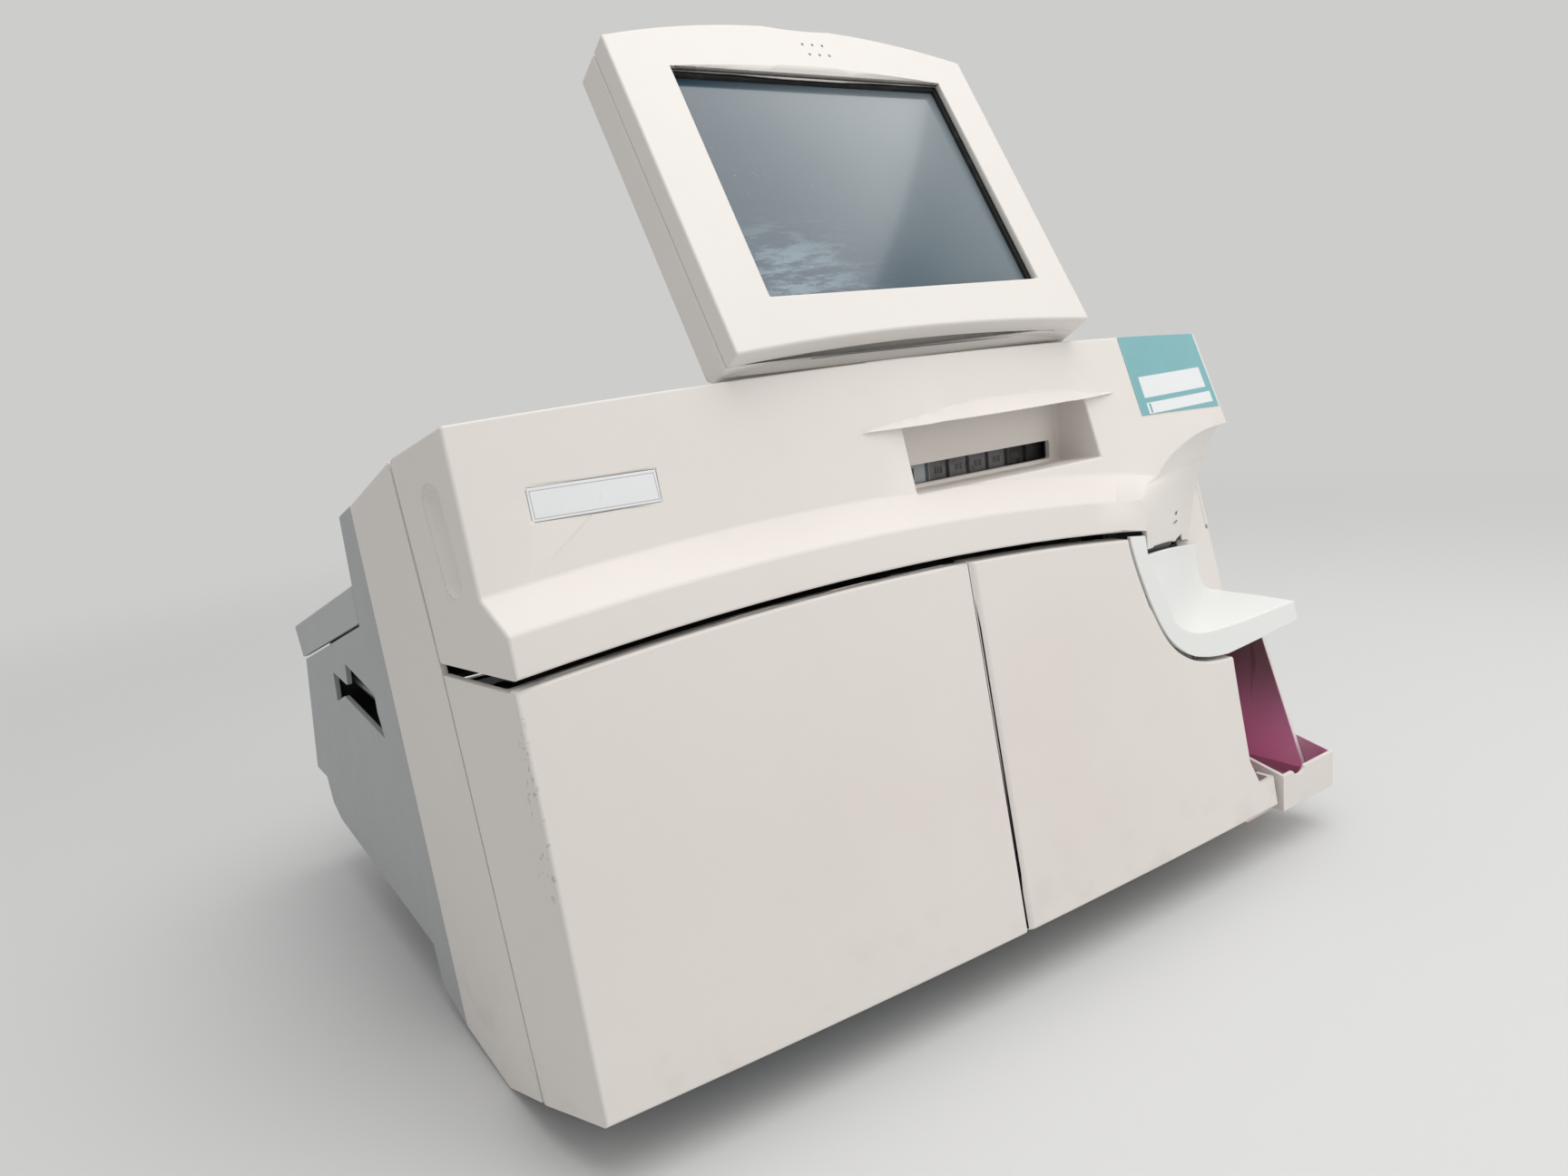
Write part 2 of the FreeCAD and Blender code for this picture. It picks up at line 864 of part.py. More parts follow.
def behind_panel(gap):
    """What lies behind the bay's panel's front face."""
    low, high = -size("overrun"), size("hood_top_z")
    over = size("overrun") * 5
    outline = [(panel_y(low) - gap, low), (panel_y(high) - gap, high), (over, high), (over, low)]
    return slab(outline, -size("casing_half"), size("casing_half") * 2)


def cove_skirt():
    """The cove's wall below the hood's brim."""
    wall, gap = size("wall"), size("rest_gap")
    wall_shape = bay_solid(wall).cut(bay_solid(0.0))

    def outline(x):
        y, z = hood_front(x)[3]
        back = panel_y(z) - gap
        low = z - size("cove_skirt")
        return [(y + gap, low), (y + gap, z + wall), (back, z + wall), (back, low)]
    region = loft_across(size("rest_inner") + wall / 2, size("corner_half") + size("overrun"), outline)
    return wall_shape.common(region)


def probe_room():
    """What the probe needs under the hood's lower edge, right of its port, while the hood is drawn past it."""
    left, high = size("port_x"), size("port_z") + size("probe_guide")
    low_corner = (left, size("cove_front_y"), size("port_z") - size("overrun"))
    return block(low_corner, (left + size("probe_sweep"), 0.0, high))


def recess_solid(grow):
    left, right = size("recess_left") - grow, size("recess_right") + grow
    low, high = size("recess_low") - grow, size("recess_high") + grow
    back = size("recess_back_y") + grow
    front = size("cove_front_y") - size("overrun")
    drop = size("recess_drop")
    outline = [(front, low), (back, low - drop), (back, high), (front, high)]
    return slab(outline, left, right)


def visor_solid():
    left, right = size("visor_left"), size("visor_right")
    middle, reach = (left + right) / 2, (right - left) / 2

    def outline(x):
        share = max(1 - ((x - middle) / reach) ** 2, 0.02)
        low = size("recess_high")
        high = low + size("visor_rise") * share
        return [
            (hood_face_y(x, high) + size("wall") / 2, high),
            (hood_face_y(x, high), high),
            (hood_face_y(x, low) - size("visor_out") * share, low),
            (hood_face_y(x, low) + size("wall") / 2, low),
        ]
    return loft_across(left, right, outline)


def scoop_solid(side, grow):
    radius = size("scoop_r") + grow
    centre_x = side * (size("casing_half") - size("scoop_in") + size("scoop_r"))
    ends = [Vector(centre_x, *pair("scoop_top")), Vector(centre_x, *pair("scoop_low"))]
    run = ends[1] - ends[0]
    rod_shape = Part.makeCylinder(radius, run.Length, ends[0], run)
    balls = [Part.makeSphere(radius, end) for end in ends]
    return rod_shape.multiFuse(balls)


def hood_shape():
    half = size("casing_half")
    wall = size("wall")
    corners = (pair("brim"), pair("hood_top"))
    outer = loft_across(-half, half, hood_outline(0.0))
    inner = loft_across(-half - size("overrun"), half + size("overrun"), hood_outline(wall))
    for side in (-1, 1):
        outer = outer.cut(side_wedge(side, corners))
        inner = inner.cut(side_wedge(side, corners, wall))
        inner = inner.cut(scoop_solid(side, wall))
    inner = inner.cut(bay_solid(wall)).cut(recess_solid(wall))
    window = block((size("window_left"), size("recess_back_y") - size("overrun"), size("window_low")),
                   (size("window_right"), size("recess_back_y") + size("overrun"), size("window_high")))
    hood = outer.cut(inner).fuse(visor_solid()).cut(bay_solid(0.0)).cut(recess_solid(0.0)).cut(window)
    hood = hood.fuse(cove_skirt().cut(side_wedge(1, corners)).cut(probe_room()))
    for side in (-1, 1):
        hood = hood.cut(scoop_solid(side, 0.0))
    return hood


def face_frame(x, z, face):
    """A placement on the hood's face at x and z: its own Y points into the hood."""
    step = size("wall")
    across = Vector(2 * step, face(x + step, z) - face(x - step, z), 0)
    up = Vector(0, face(x, z + step) - face(x, z - step), 2 * step)
    across.normalize()
    up.normalize()
    inward = up.cross(across)
    return Placement(Vector(x, face(x, z), z), Rotation(across, inward, up, "XZY"))


def build_hood():
    hood = hood_shape()
    low_x, low_z = size("plate_left") + size("plate_long") / 2, size("plate_low_z") + size("plate_high") / 2
    spot = face_frame(low_x, low_z, hood_face_y)
    long, high, deep = size("plate_long"), size("plate_high"), size("plate_deep")
    gap = size("rest_gap")
    pocket_shape = block((-long / 2 - gap, -size("overrun"), -high / 2 - gap),
                         (long / 2 + gap, deep, high / 2 + gap))
    pocket_shape.Placement = spot
    node("hood", shape_object("hood", hood.cut(pocket_shape)))
    plate = box("name_plate", ("-plate_long/2", "plate_deep-plate_thick", "-plate_high/2"),
                ("plate_long/2", "plate_deep", "plate_high/2"))
    holder = node("name_plate", group("name_plate_group", [plate]))
    holder.Placement = spot
    label_x, label_z = size("label_left") + size("label_long") / 2, size("label_low_z") + size("label_high") / 2

    def outline(x):
        lift = size("top_crown") * crown(x)
        low, top = size("label_low_z") + lift, size("label_low_z") + lift + size("label_high")
        near, far = size("label_film"), size("label_film") + size("label_thick")
        return [(hood_face_y(x, low) - far, low), (hood_face_y(x, top) - far, top),
                (hood_face_y(x, top) - near, top), (hood_face_y(x, low) - near, low)]
    label = loft_across(size("label_left"), size("label_left") + size("label_long"), outline, 5)
    node("info_label", shape_object("info_label", label))


def build_window():
    gap = "rest_gap"
    back = f"recess_back_y+wall+{gap}"
    rim = "wall*2"
    frame = box("window_rim_block", (f"window_left-{rim}", back, f"window_low-{rim}"),
                (f"window_right+{rim}", f"{back}+pane_thick*2", f"window_high+{rim}"))
    hole = box("window_rim_hole", ("window_left", f"{back}-overrun", "window_low"),
               ("window_right", f"{back}+overrun", "window_high"))
    seatcut = box("window_rim_seat", (f"window_left-{rim}/2", f"{back}+pane_thick", f"window_low-{rim}/2"),
                  (f"window_right+{rim}/2", f"{back}+overrun", f"window_high+{rim}/2"))
    node("window_frame", cut("window_frame", frame, [hole, seatcut]))
    pane = box("window_pane", (f"window_left-{rim}/2+{gap}", f"{back}+pane_thick", f"window_low-{rim}/2+{gap}"),
               (f"window_right+{rim}/2-{gap}", f"{back}+pane_thick*2", f"window_high+{rim}/2-{gap}"))
    node("window_pane", pane)


# Doors


def door_outline(inset, back_shift=0.0):
    over = size("overrun") if inset else 0.0

    def outline(x):
        top = door_top(x)
        foot = (size("door_foot_y") - low_bulge(x), size("door_foot_z"))
        top_z = top[1] - inset
        return [
            (top[0] + inset + back_shift, top_z),
            (foot[0] + inset + back_shift, foot[1] + inset),
            (size("seam_foot_y") + over, size("seam_foot_z") + inset),
            (line_at(top_z, pair("seam_foot"), pair("seam_mid")) + over, top_z),
        ]
    return outline


def flange_cut(left, right):
    """What lies behind the doors' folded edges."""
    flange = size("door_flange")
    over = size("overrun") * 4

    def outline(x):
        top = door_top(x)
        foot = (size("door_foot_y") - low_bulge(x), size("door_foot_z"))
        return [
            (line_at(top[1] + over, foot, top) + flange, top[1] + over),
            (line_at(foot[1] - over, foot, top) + flange, foot[1] - over),
            (size("frame_foot_y"), foot[1] - over),
            (size("frame_foot_y"), top[1] + over),
        ]
    return loft_across(left, right, outline)


def swing_relief(left, right):
    """What is taken off the top of the left door's folded edge, which rises as the door swings out."""
    drop, over = size("door_relief"), size("overrun")

    def outline(x):
        y, z = door_top(x)
        start = y + size("wall") * 2
        return [(start, z - drop), (start, z + over), (start + over * 4, z + over), (start + over * 4, z - drop)]
    return loft_across(left, right, outline)


def left_axis():
    """Foot and direction of the left door's hinge line, along the leaning seam."""
    foot = Vector(size("left_axis_x"), size("seam_foot_y") - size("left_axis_ahead"), size("seam_foot_z"))
    run = Vector(0, size("seam_mid_y") - size("seam_foot_y"), size("seam_mid_z") - size("seam_foot_z"))
    return foot, run.normalize()


def right_axis():
    """Foot and direction of the right door's hinge line, behind its face at the split."""
    x = size("right_axis_x")
    top = door_top(x)
    foot = Vector(x, size("door_foot_y") - low_bulge(x) + size("right_axis_behind"), size("door_foot_z"))
    run = Vector(0, top[0] + size("right_axis_behind") - foot.y, top[1] - foot.z)
    return foot, run.normalize()


def on_axis(axis, z):
    foot, run = axis
    return foot + run * ((z - foot.z) / run.z)


def knuckle(axis, z, tall, radius):
    centre = on_axis(axis, z)
    return Part.makeCylinder(radius, tall, centre - axis[1] * (tall / 2), axis[1])


def lug_heights():
    """Heights of the doors' lugs, each standing just above its fixed arm."""
    lift = (size("hinge_arm_tall") + size("hinge_lug_tall")) / 2 + size("rest_gap") * 4
    return [size("hinge_low_z") + lift, size("hinge_high_z") + lift]


def door_lugs(axis, bridge_to):
    """Lugs with their webs to the door; bridge_to gives the web's far corner at a height."""
    lugs = []
    tall, radius = size("hinge_lug_tall"), size("hinge_knuckle")
    for z in lug_heights():
        centre = on_axis(axis, z)
        x, y = bridge_to(z)
        low = (min(x, centre.x), min(y, centre.y), z - tall / 2)
        high = (max(x, centre.x), max(y, centre.y), z + tall / 2)
        web = block(low, high)
        lugs.append(knuckle(axis, z, tall, radius).fuse(web))
    return lugs


def rear_trim():
    """Takes the doors' side edge a little further off the frame than the hood's."""
    ease, over = size("rest_gap") * 2, size("overrun") * 2
    low, high = -over, size("hood_top_z")
    line = (pair("seam_foot"), pair("seam_mid"))
    low_y, high_y = line_at(low, *line) - ease, line_at(high, *line) - ease
    return slab([(low_y, low), (high_y, high), (high_y + over, high), (low_y + over, low)],
                -size("casing_half") * 2, size("casing_half") * 2)


def edge_round():
    """What is taken off the right door's hinge edge so that it turns past the left door."""
    foot, run = right_axis()
    over = size("overrun")
    reach = size("right_axis_x") - size("door_split_x") + size("seam") / 4
    tall = size("hood_top_z")
    solid = block((-over, -over, -over), (0, 0, tall))
    solid = solid.cut(Part.makeCylinder(reach, tall * 2, Vector(0, 0, -tall / 2)))
    lean = math.degrees(math.atan2(-run.y, run.z))
    solid.Placement = Placement(foot, Rotation(Vector(1, 0, 0), lean))
    return solid


def build_left_door():
    half, wall, over = size("casing_half"), size("wall"), size("overrun")
    right = size("door_split_x") - size("seam") / 2
    corners = (pair("door_foot"), pair("door_top"))
    outer = loft_across(-half, right, door_outline(0.0)).cut(side_wedge(-1, corners))
    outer = outer.cut(rear_trim())
    inner = loft_across(-half - over, right - wall, door_outline(wall)).cut(side_wedge(-1, corners, wall))
    behind = flange_cut(-half - over, right + over).cut(side_wedge(-1, corners, wall))
    door = outer.cut(inner).cut(behind).cut(swing_relief(-half - over, right + over))
    axis = left_axis()
    play = size("hinge_pin") + size("pin_play")

    def bridge(z):
        return -half, on_axis(axis, z).y - size("hinge_knuckle")
    for lug in door_lugs(axis, bridge):
        door = door.fuse(lug.cut(side_wedge(-1, corners, wall / 2)))
    for z in lug_heights():
        door = door.cut(knuckle(axis, z, size("hinge_lug_tall") * 2, play))
    node("left_door", shape_object("left_door", door))


def rest_curve(shift):
    """Points down the sample rest's outer curve, moved by shift towards its hollow."""
    left, top = size("rest_left") + shift, size("rest_top")
    floor, turn = size("rest_bottom") + shift, size("rest_turn_x")
    wide = turn - left
    tall = top - floor
    shares = ((0, 1), (0.03, 0.85), (0.09, 0.65), (0.18, 0.42), (0.32, 0.22), (0.55, 0.08), (0.8, 0.02), (1, 0))
    return [(left + wide * a, floor + tall * b) for a, b in shares]


def rest_prism(front, back, shift, right, floor_right, ceiling):
    """What lies above and to the right of the sample rest's curve."""
    points = rest_curve(shift)
    start, end = points[0], points[-1]
    edges = [smooth_edge(points, front)]
    corners = [end, (right, floor_right), (right, ceiling), (start[0], ceiling), start]
    for a, b in zip(corners, corners[1:]):
        if a != b:
            edges.append(Part.makeLine(Vector(a[0], front, a[1]), Vector(b[0], front, b[1])))
    return Part.Face(Part.Wire(edges)).extrude(Vector(0, back - front, 0))


def door_right_cut(grow):
    """What the right door leaves free: the sample rest, the bottle well and its tray."""
    front, back = size("cove_front_y") - size("overrun") * 4, size("frame_foot_y")
    ceiling = size("hood_top_z")
    right = size("casing_half") + size("overrun")
    rest = rest_prism(front, back, -grow, right, size("rest_bottom") - grow, ceiling)
    if grow:
        rest.translate(Vector(0, 0, -size("seam")))
    edge, toe = size("door_edge_x"), size("door_toe_x")
    well = plate_xz([
        (edge, size("rest_bottom") + size("overrun")),
        (edge, size("door_notch_high")),
        (edge + (toe - edge) * 0.3, size("door_notch_low")),
        (toe, size("door_notch_low")),
        (toe, -size("overrun")),
        (right, -size("overrun")),
        (right, size("rest_bottom") + size("overrun")),
    ], front, back)
    if grow:
        well.translate(Vector(-grow, 0, 0))
    return rest.fuse(well)


def build_right_door():
    half, wall, over = size("casing_half"), size("wall"), size("overrun")
    gap = size("seam")
    left = size("door_split_x") + gap / 2
    outer = loft_across(left, half, door_outline(0.0)).cut(door_right_cut(gap)).cut(edge_round())
    inner = loft_across(left + wall, half + over, door_outline(wall)).cut(door_right_cut(gap + wall))
    behind = flange_cut(left - over, half + over)
    door = outer.cut(inner).cut(behind)
    axis = right_axis()
    play = size("hinge_pin") + size("pin_play")

    def bridge(z):
        centre = on_axis(axis, z)
        return centre.x - size("hinge_knuckle"), centre.y - size("right_axis_behind") + wall / 2
    for lug in door_lugs(axis, bridge):
        door = door.fuse(lug)
    clear = size("hinge_arm_tall") / 2 + size("rest_gap") * 6
    for z in (size("hinge_low_z"), size("hinge_high_z")):
        centre = on_axis(axis, z)
        face_y = centre.y - size("right_axis_behind")
        door = door.cut(block((left - over, face_y + wall + gap / 2, z - clear),
                              (centre.x + size("hinge_knuckle") * 2, centre.y + size("door_flange"), z + clear)))
    for z in lug_heights():
        door = door.cut(knuckle(axis, z, size("hinge_lug_tall") * 2, play))
    node("right_door", shape_object("right_door", door))


def build_hinges():
    arm, radius = size("hinge_arm_tall"), size("hinge_knuckle")
    pin_up = size("hinge_arm_tall") / 2 + size("hinge_lug_tall") + size("rest_gap") * 4
    sheet_thick = size("hinge_plate_thick")
    left, right = left_axis(), right_axis()
    low_z, high_z = size("deck_low_z"), size("mid_shelf_z") - size("pan_sheet")
    rail = slab([
        (on_axis(left, low_z).y - size("hinge_plate_half"), low_z),
        (on_axis(left, low_z).y + size("hinge_plate_half"), low_z),
        (on_axis(left, high_z).y + size("hinge_plate_half"), high_z),
        (on_axis(left, high_z).y - size("hinge_plate_half"), high_z),
    ], size("hinge_plate_x"), size("hinge_plate_x") + sheet_thick)
    left_shape = rail
    post_back = size("post_front_y") + size("post_deep")
    post = block((size("post_left"), size("post_front_y"), low_z),
                 (size("post_right"), post_back, high_z))
    right_shape = post
    for z in (size("hinge_low_z"), size("hinge_high_z")):
        centre = on_axis(left, z)
        bar = block((centre.x, centre.y - radius, z - arm / 2),
                    (size("hinge_plate_x") + sheet_thick / 2, centre.y + radius, z + arm / 2))
        pin = Part.makeCylinder(size("hinge_pin"), arm / 2 + pin_up, centre, left[1])
        left_shape = left_shape.multiFuse([bar, knuckle(left, z, arm, radius), pin])
        centre = on_axis(right, z)
        half_bar = size("hinge_pin") + size("pin_play")
        bar = block((centre.x - half_bar, centre.y, z - arm / 2),
                    (centre.x + half_bar, size("post_front_y") + radius, z + arm / 2))
        pin = Part.makeCylinder(size("hinge_pin"), arm / 2 + pin_up, centre, right[1])
        right_shape = right_shape.multiFuse([bar, knuckle(right, z, arm, half_bar), pin])
    node("left_hinge_rail", shape_object("left_hinge_rail", left_shape))
    node("centre_post", shape_object("centre_post", right_shape))
    catches = []
    for tag, x in (("left", "post_left-catch_size/2"), ("right", "post_right+catch_size/2")):
        catches.append(box(f"catch_{tag}", (f"{x}-catch_size/2", "post_front_y-catch_thick", "mid_shelf_z/2"),
                           (f"{x}+catch_size/2", "post_front_y+post_deep/2", "mid_shelf_z/2+catch_size*2")))
    node("door_catches", group("door_catches", catches))


# Sample bay and bottle well


REST_FRONT_SHARES = (
    (-0.16, 1.3), (-0.13, 1.07), (-0.09, 0.89), (-0.075, 0.78), (-0.023, 0.616), (0.022, 0.479),
    (0.09, 0.26), (0.16, 0.137), (0.258, 0.055), (0.42, 0.016), (0.66, 0.004), (1.13, -0.02),
)
REST_BACK_SHARES = (
    (0.93, 1.3), (0.92, 1.07), (0.91, 0.89), (0.897, 0.753), (0.877, 0.603), (0.871, 0.479),
    (0.877, 0.315), (0.903, 0.192), (0.942, 0.096), (1.006, 0.034), (1.097, 0.014), (1.355, 0),
)


def rest_hollow(grow):
    """The cove that the sample rest holds: the same curve all the way, widening to the back."""
    left, floor = size("rest_inner"), size("rest_floor")
    wide, tall = size("rest_right") - left, size("rest_top") - floor
    front, back = size("rest_front_y"), size("rest_back_y")
    levels = (front - size("overrun"), back + size("overrun"))
    outlines = []
    for y in levels:
        share = (y - front) / (back - front)
        points = []
        for (ax, az), (bx, bz) in zip(REST_FRONT_SHARES, REST_BACK_SHARES):
            points.append((left + wide * (ax + (bx - ax) * share), floor + tall * (az + (bz - az) * share)))
        outlines.append(points)
    solid = cove_between(outlines, levels, size("casing_half") * 2)
    solid.translate(Vector(-grow * COVE_WALL_SLOPE, 0, -grow))
    return solid


def build_sample_rest():
    wall, gap, over = size("wall"), size("rest_gap"), size("overrun")
    front = size("door_foot_y") - size("low_bulge") - over
    right = size("rest_right")
    outer = rest_prism(front, 0, 0.0, right, size("rest_right_low"), size("rest_top") + over)
    outer = outer.cut(behind_panel(gap))

    def ahead(x):
        high, low = size("hood_top_z"), size("rest_bottom") - over
        return [
            (door_face_y(x, high), high),
            (door_face_y(x, low), low),
            (front - over, low),
            (front - over, high),
        ]

    def lid_over(drop, start):
        def outline(x):
            low = hood_front(x)[3][1] - drop
            return [(start, low), (start, size("hood_top_z")), (0, size("hood_top_z")), (0, low)]
        return loft_across(size("rest_left") - over, right + over, outline)

    def rear_part(x):
        high, low = size("hood_top_z"), size("rest_bottom") - over
        flange = wall
        return [(door_face_y(x, high) + flange, high), (door_face_y(x, low) + flange, low), (0, low), (0, high)]
    left_end, right_end = size("rest_left") - over, right + over
    hollow = rest_hollow(0.0)
    outer = outer.cut(loft_across(left_end, right_end, ahead)).cut(hollow)
    rear = outer.common(loft_across(left_end, right_end, rear_part))
    drop = size("cove_skirt") + size("cove_slot")
    inner_right = lid_over(drop, front - over).cut(block((left_end - over, front - over * 2, 0),
                                                         (size("rest_inner") + gap, 0, size("hood_top_z") + over)))
    flange = outer.cut(loft_across(left_end, right_end, rear_part)).cut(lid_over(wall, front - over))
    shell = rear.common(rest_hollow(wall)).cut(lid_over(drop, front - over))
    shape = flange.fuse(shell).cut(inner_right)
    node("sample_rest", shape_object("sample_rest", shape))


def build_bay_panel():
    wall, gap = size("wall"), size("rest_gap")
    half = size("casing_half")
    low, high = size("well_top") + gap, size("bay_panel_high")
    brim = size("brim_z") - droop(half) - size("seam")
    left = size("bay_panel_left")

    def sheet_between(bottom, top, right):
        return slab([(panel_y(bottom), bottom), (panel_y(top), top), (panel_y(top) + wall, top),
                     (panel_y(bottom) + wall, bottom)], left, right)
    side = [(panel_y(low), low), (panel_y(brim), brim), (seam_y(brim) - size("seam"), brim),
            (seam_y(low) - size("seam"), low)]
    hood_corners = (pair("brim"), pair("hood_top"))
    door_corners = (pair("door_foot"), pair("door_top"))
    upper = sheet_between(low, high, half - wall - gap).cut(side_wedge(1, hood_corners, wall + gap))
    lower = sheet_between(low, brim, half).fuse(slab(side, half - wall, half)).cut(side_wedge(1, door_corners))
    node("bay_panel", shape_object("bay_panel", upper.fuse(lower)))


def port_spot():
    """The probe's own frame: X along the cove, Y into the machine."""
    return Placement(Vector(size("port_x"), size("port_y"), size("port_z")),
                     Rotation(Vector(0, 0, 1), size("port_turn_degrees")))


def build_probe():
    behind = "wall*1.25+rest_gap"
    plate = box("port_block", ("-port_left", behind, "-port_down"), ("port_right", f"{behind}+port_thick", "port_up"))
    hole = rod("port_hole", "probe_guide", "overrun*2", ("0", "-overrun", "0"), "y")
    slot = box("port_slot", ("0", "-overrun", "-probe_guide"), ("port_right+overrun", "overrun", "probe_guide"))
    node("port_plate", cut("port_plate", plate, [hole, slot])).Placement = port_spot()
    probe = new_body("sample_probe", ("port_x", "port_y", "port_z"))
    ring = sketch_on(probe, "probe_ring", "XZ_Plane", f"-({behind})")
    draw_circle(ring, "probe_r")
    draw_circle(ring, "probe_bore")
    pad(probe, ring, "probe_tube", "probe_long", True)
    probe.Placement = port_spot()
    node("sample_probe", probe)
    grip = box("holder_block", ("-carriage/2", "probe_grip", "-rail_drop-carriage/2"),
               ("carriage/2", "probe_grip+carriage", "carriage/2"))
    bore = rod("holder_bore", "rail_r+pin_play", "rail_end", ("0", "0", "-rail_drop"), "y")
    grip_bore = rod("holder_grip", "probe_r", "rail_end", ("0", "0", "0"), "y")
    node("probe_holder", cut("probe_holder", grip, [bore, grip_bore])).Placement = port_spot()
    rail = rod("probe_rail_rod", "rail_r", f"rail_end-({behind}+port_thick)", ("0", f"{behind}+port_thick", "-rail_drop"), "y")
    node("probe_rail", group("probe_rail", [rail])).Placement = port_spot()
    motor = rod("motor_can", "probe_motor_r", "probe_motor_long", ("0", "rail_end", "-rail_drop"), "y")
    mount = box("motor_mount", ("-probe_motor_r", "rail_end", "-rail_drop"),
                ("probe_motor_r", "rail_end+pan_sheet", "mid_shelf_z-pan_sheet-rest_gap-port_z"))
    node("probe_motor", fuse("probe_motor", [motor, mount])).Placement = port_spot()


def build_well():
    wall = size("well_wall")
    left, right = size("well_left"), size("well_right")
    low, top = size("well_floor"), size("well_top")
    back, over = size("well_back_y"), size("overrun")
    low_y, top_y = size("well_front_low_y"), size("well_front_top_y")
    outer = slab([(low_y, low), (back, low), (back, top), (top_y, top)], left, right)
    inner = slab([(low_y - over, low + wall), (back - wall, low + wall), (back - wall, top - wall),
                  (top_y - over, top - wall)], left + wall, right - size("well_side"))
    side_open = block((right - size("well_side") - over / 2, low_y - over, low + wall),
                      (right + over, back + over, size("well_side_low")))
    side_open = side_open.cut(block((left, back - wall, low), (right - size("well_side"), back + over, top)))
    node("bottle_well", shape_object("bottle_well", outer.cut(inner).cut(side_open)))
    tray_outline = [
        (size("tray_front_y"), size("tray_low")),
        (size("tray_back_y"), size("tray_low")),
        (size("tray_back_y"), size("tray_back_high")),
        (size("tray_front_y"), size("tray_front_high")),
    ]
    solid = slab(tray_outline, size("tray_left"), size("tray_right"))
    thick = size("tray_wall")
    inner_left, inner_right = size("tray_left") + thick, size("tray_right") - thick
    hollow = slab([
        (size("tray_front_y") + thick, size("tray_low") + thick),
        (size("tray_back_y") - thick, size("tray_low") + thick),
        (size("tray_back_y") - thick, size("tray_back_high") + over),
        (size("tray_front_y") + thick, size("tray_back_high") + over),
    ], inner_left, inner_right)
    low_back = block((inner_left, size("tray_back_y") - over, size("tray_low_back")),
                     (inner_right, size("tray_back_y") + over, size("tray_back_high") + over))
    middle = size("tray_left") * 0.7 + size("tray_right") * 0.3
    dip_z = size("tray_front_high") + size("tray_notch") - size("tray_notch_deep")
    dip = Part.makeCylinder(size("tray_notch"), over, Vector(middle, size("tray_front_y") - over / 2, dip_z),
                            Vector(0, 1, 0))
    node("bottle_tray", shape_object("bottle_tray", solid.cut(hollow).cut(low_back).cut(dip)))
    runners = []
    for tag, x in (("left", "tray_left+tray_wall"), ("right", "well_right-tray_wall-runner")):
        runners.append(box(f"runner_{tag}", (x, "well_front_low_y", "well_floor+well_wall"),
                           (f"{x}+runner", "well_back_y-well_wall", "tray_low-rest_gap/3")))
    node("tray_runners", group("tray_runners", runners))


# Rear casing


def rear_outline():
    gap = size("seam") / 2
    return [
        (size("frame_top_y") + gap, size("frame_top_z")),
        pair("strip"),
        (size("strip_y"), size("lid_front_z") - size("lid_skirt")),
        pair("shoulder"),
        pair("tail"),
        (size("heel_y"), size("tail_z")),
        pair("heel_low"),
        pair("keel"),
        pair("belly"),
        pair("ankle"),
        (size("frame_foot_y") + gap, size("frame_foot_z")),
    ]


def grip_outline():
    """The hand-hold's edge as it is pressed into the side, with its pointed tongue."""
    front, rear = size("grip_front_y"), size("grip_rear_y")
    low, high = size("grip_low_z"), size("grip_high_z")
    long, tall = rear - front, high - low
    shares = ((0.967, 0.6), (1, -0.03), (0.777, 0.23), (0, 0), (0.058, 0.43), (0.058, 0.77), (0.61, 1), (0.65, 0.54))
    return [(front + long * a, low + tall * b) for a, b in shares]


def build_rear_body():
    half, wall, over = size("casing_half"), size("wall"), size("overrun")
    outer = slab(rear_outline(), -half, half)
    high = size("frame_top_z") + over
    slope = (size("strip_z") - size("frame_top_z")) / (size("strip_y") - size("frame_top_y"))
    front = size("frame_foot_y") - over
    under_strip = [
        (front, -over),
        (size("strip_y") - wall, -over),
        (size("strip_y") - wall, size("strip_z") - wall),
        (front, size("strip_z") - wall + slope * (front - size("strip_y"))),
    ]
    under_lid = [
        (size("strip_y"), high),
        (size("shoulder_y") - wall, high),
        (size("shoulder_y") - wall, size("shoulder_z")),
        (size("tail_y") - wall * 1.2, size("tail_z") + wall),
        (size("heel_y") - wall, size("tail_z") + wall),
        (size("heel_low_y") - wall, size("heel_low_z") + wall * 0.7),
        (size("keel_y") - wall, size("keel_z") + wall),
        (size("keel_y") - wall, -over),
        (size("strip_y"), -over),
    ]
    step_z = size("lid_front_z") - size("lid_skirt") - wall
    under_step = [
        (size("strip_y") - wall * 2, -over),
        (size("strip_y") + wall, -over),
        (size("strip_y") + wall, step_z),
        (size("strip_y") - wall * 2, step_z),
    ]
    body = outer
    for outline in (under_strip, under_lid, under_step):
        body = body.cut(slab(outline, -half + wall, half - wall))
    grip = slab(grip_outline(), -half - over, half + over)
    body = body.cut(grip)
    body = body.cut(rear_holes())
    hinge_y, hinge_z = pair("lid_hinge")
    knuckle_long = size("lid_knuckle_long")
    for side in (-1, 1):
        x = side * size("lid_hinge_x") - knuckle_long / 2
        web = block((x, size("shoulder_y") - wall / 2, hinge_z - size("lid_knuckle")),
                    (x + knuckle_long, hinge_y, hinge_z))
        barrel = Part.makeCylinder(size("lid_knuckle"), knuckle_long, Vector(x, hinge_y, hinge_z), Vector(1, 0, 0))
        body = body.multiFuse([web, barrel])
    body = body.cut(Part.makeCylinder(size("lid_pin"), 2 * half, Vector(-half, hinge_y, hinge_z), Vector(1, 0, 0)))
    node("rear_body", shape_object("rear_body", body))


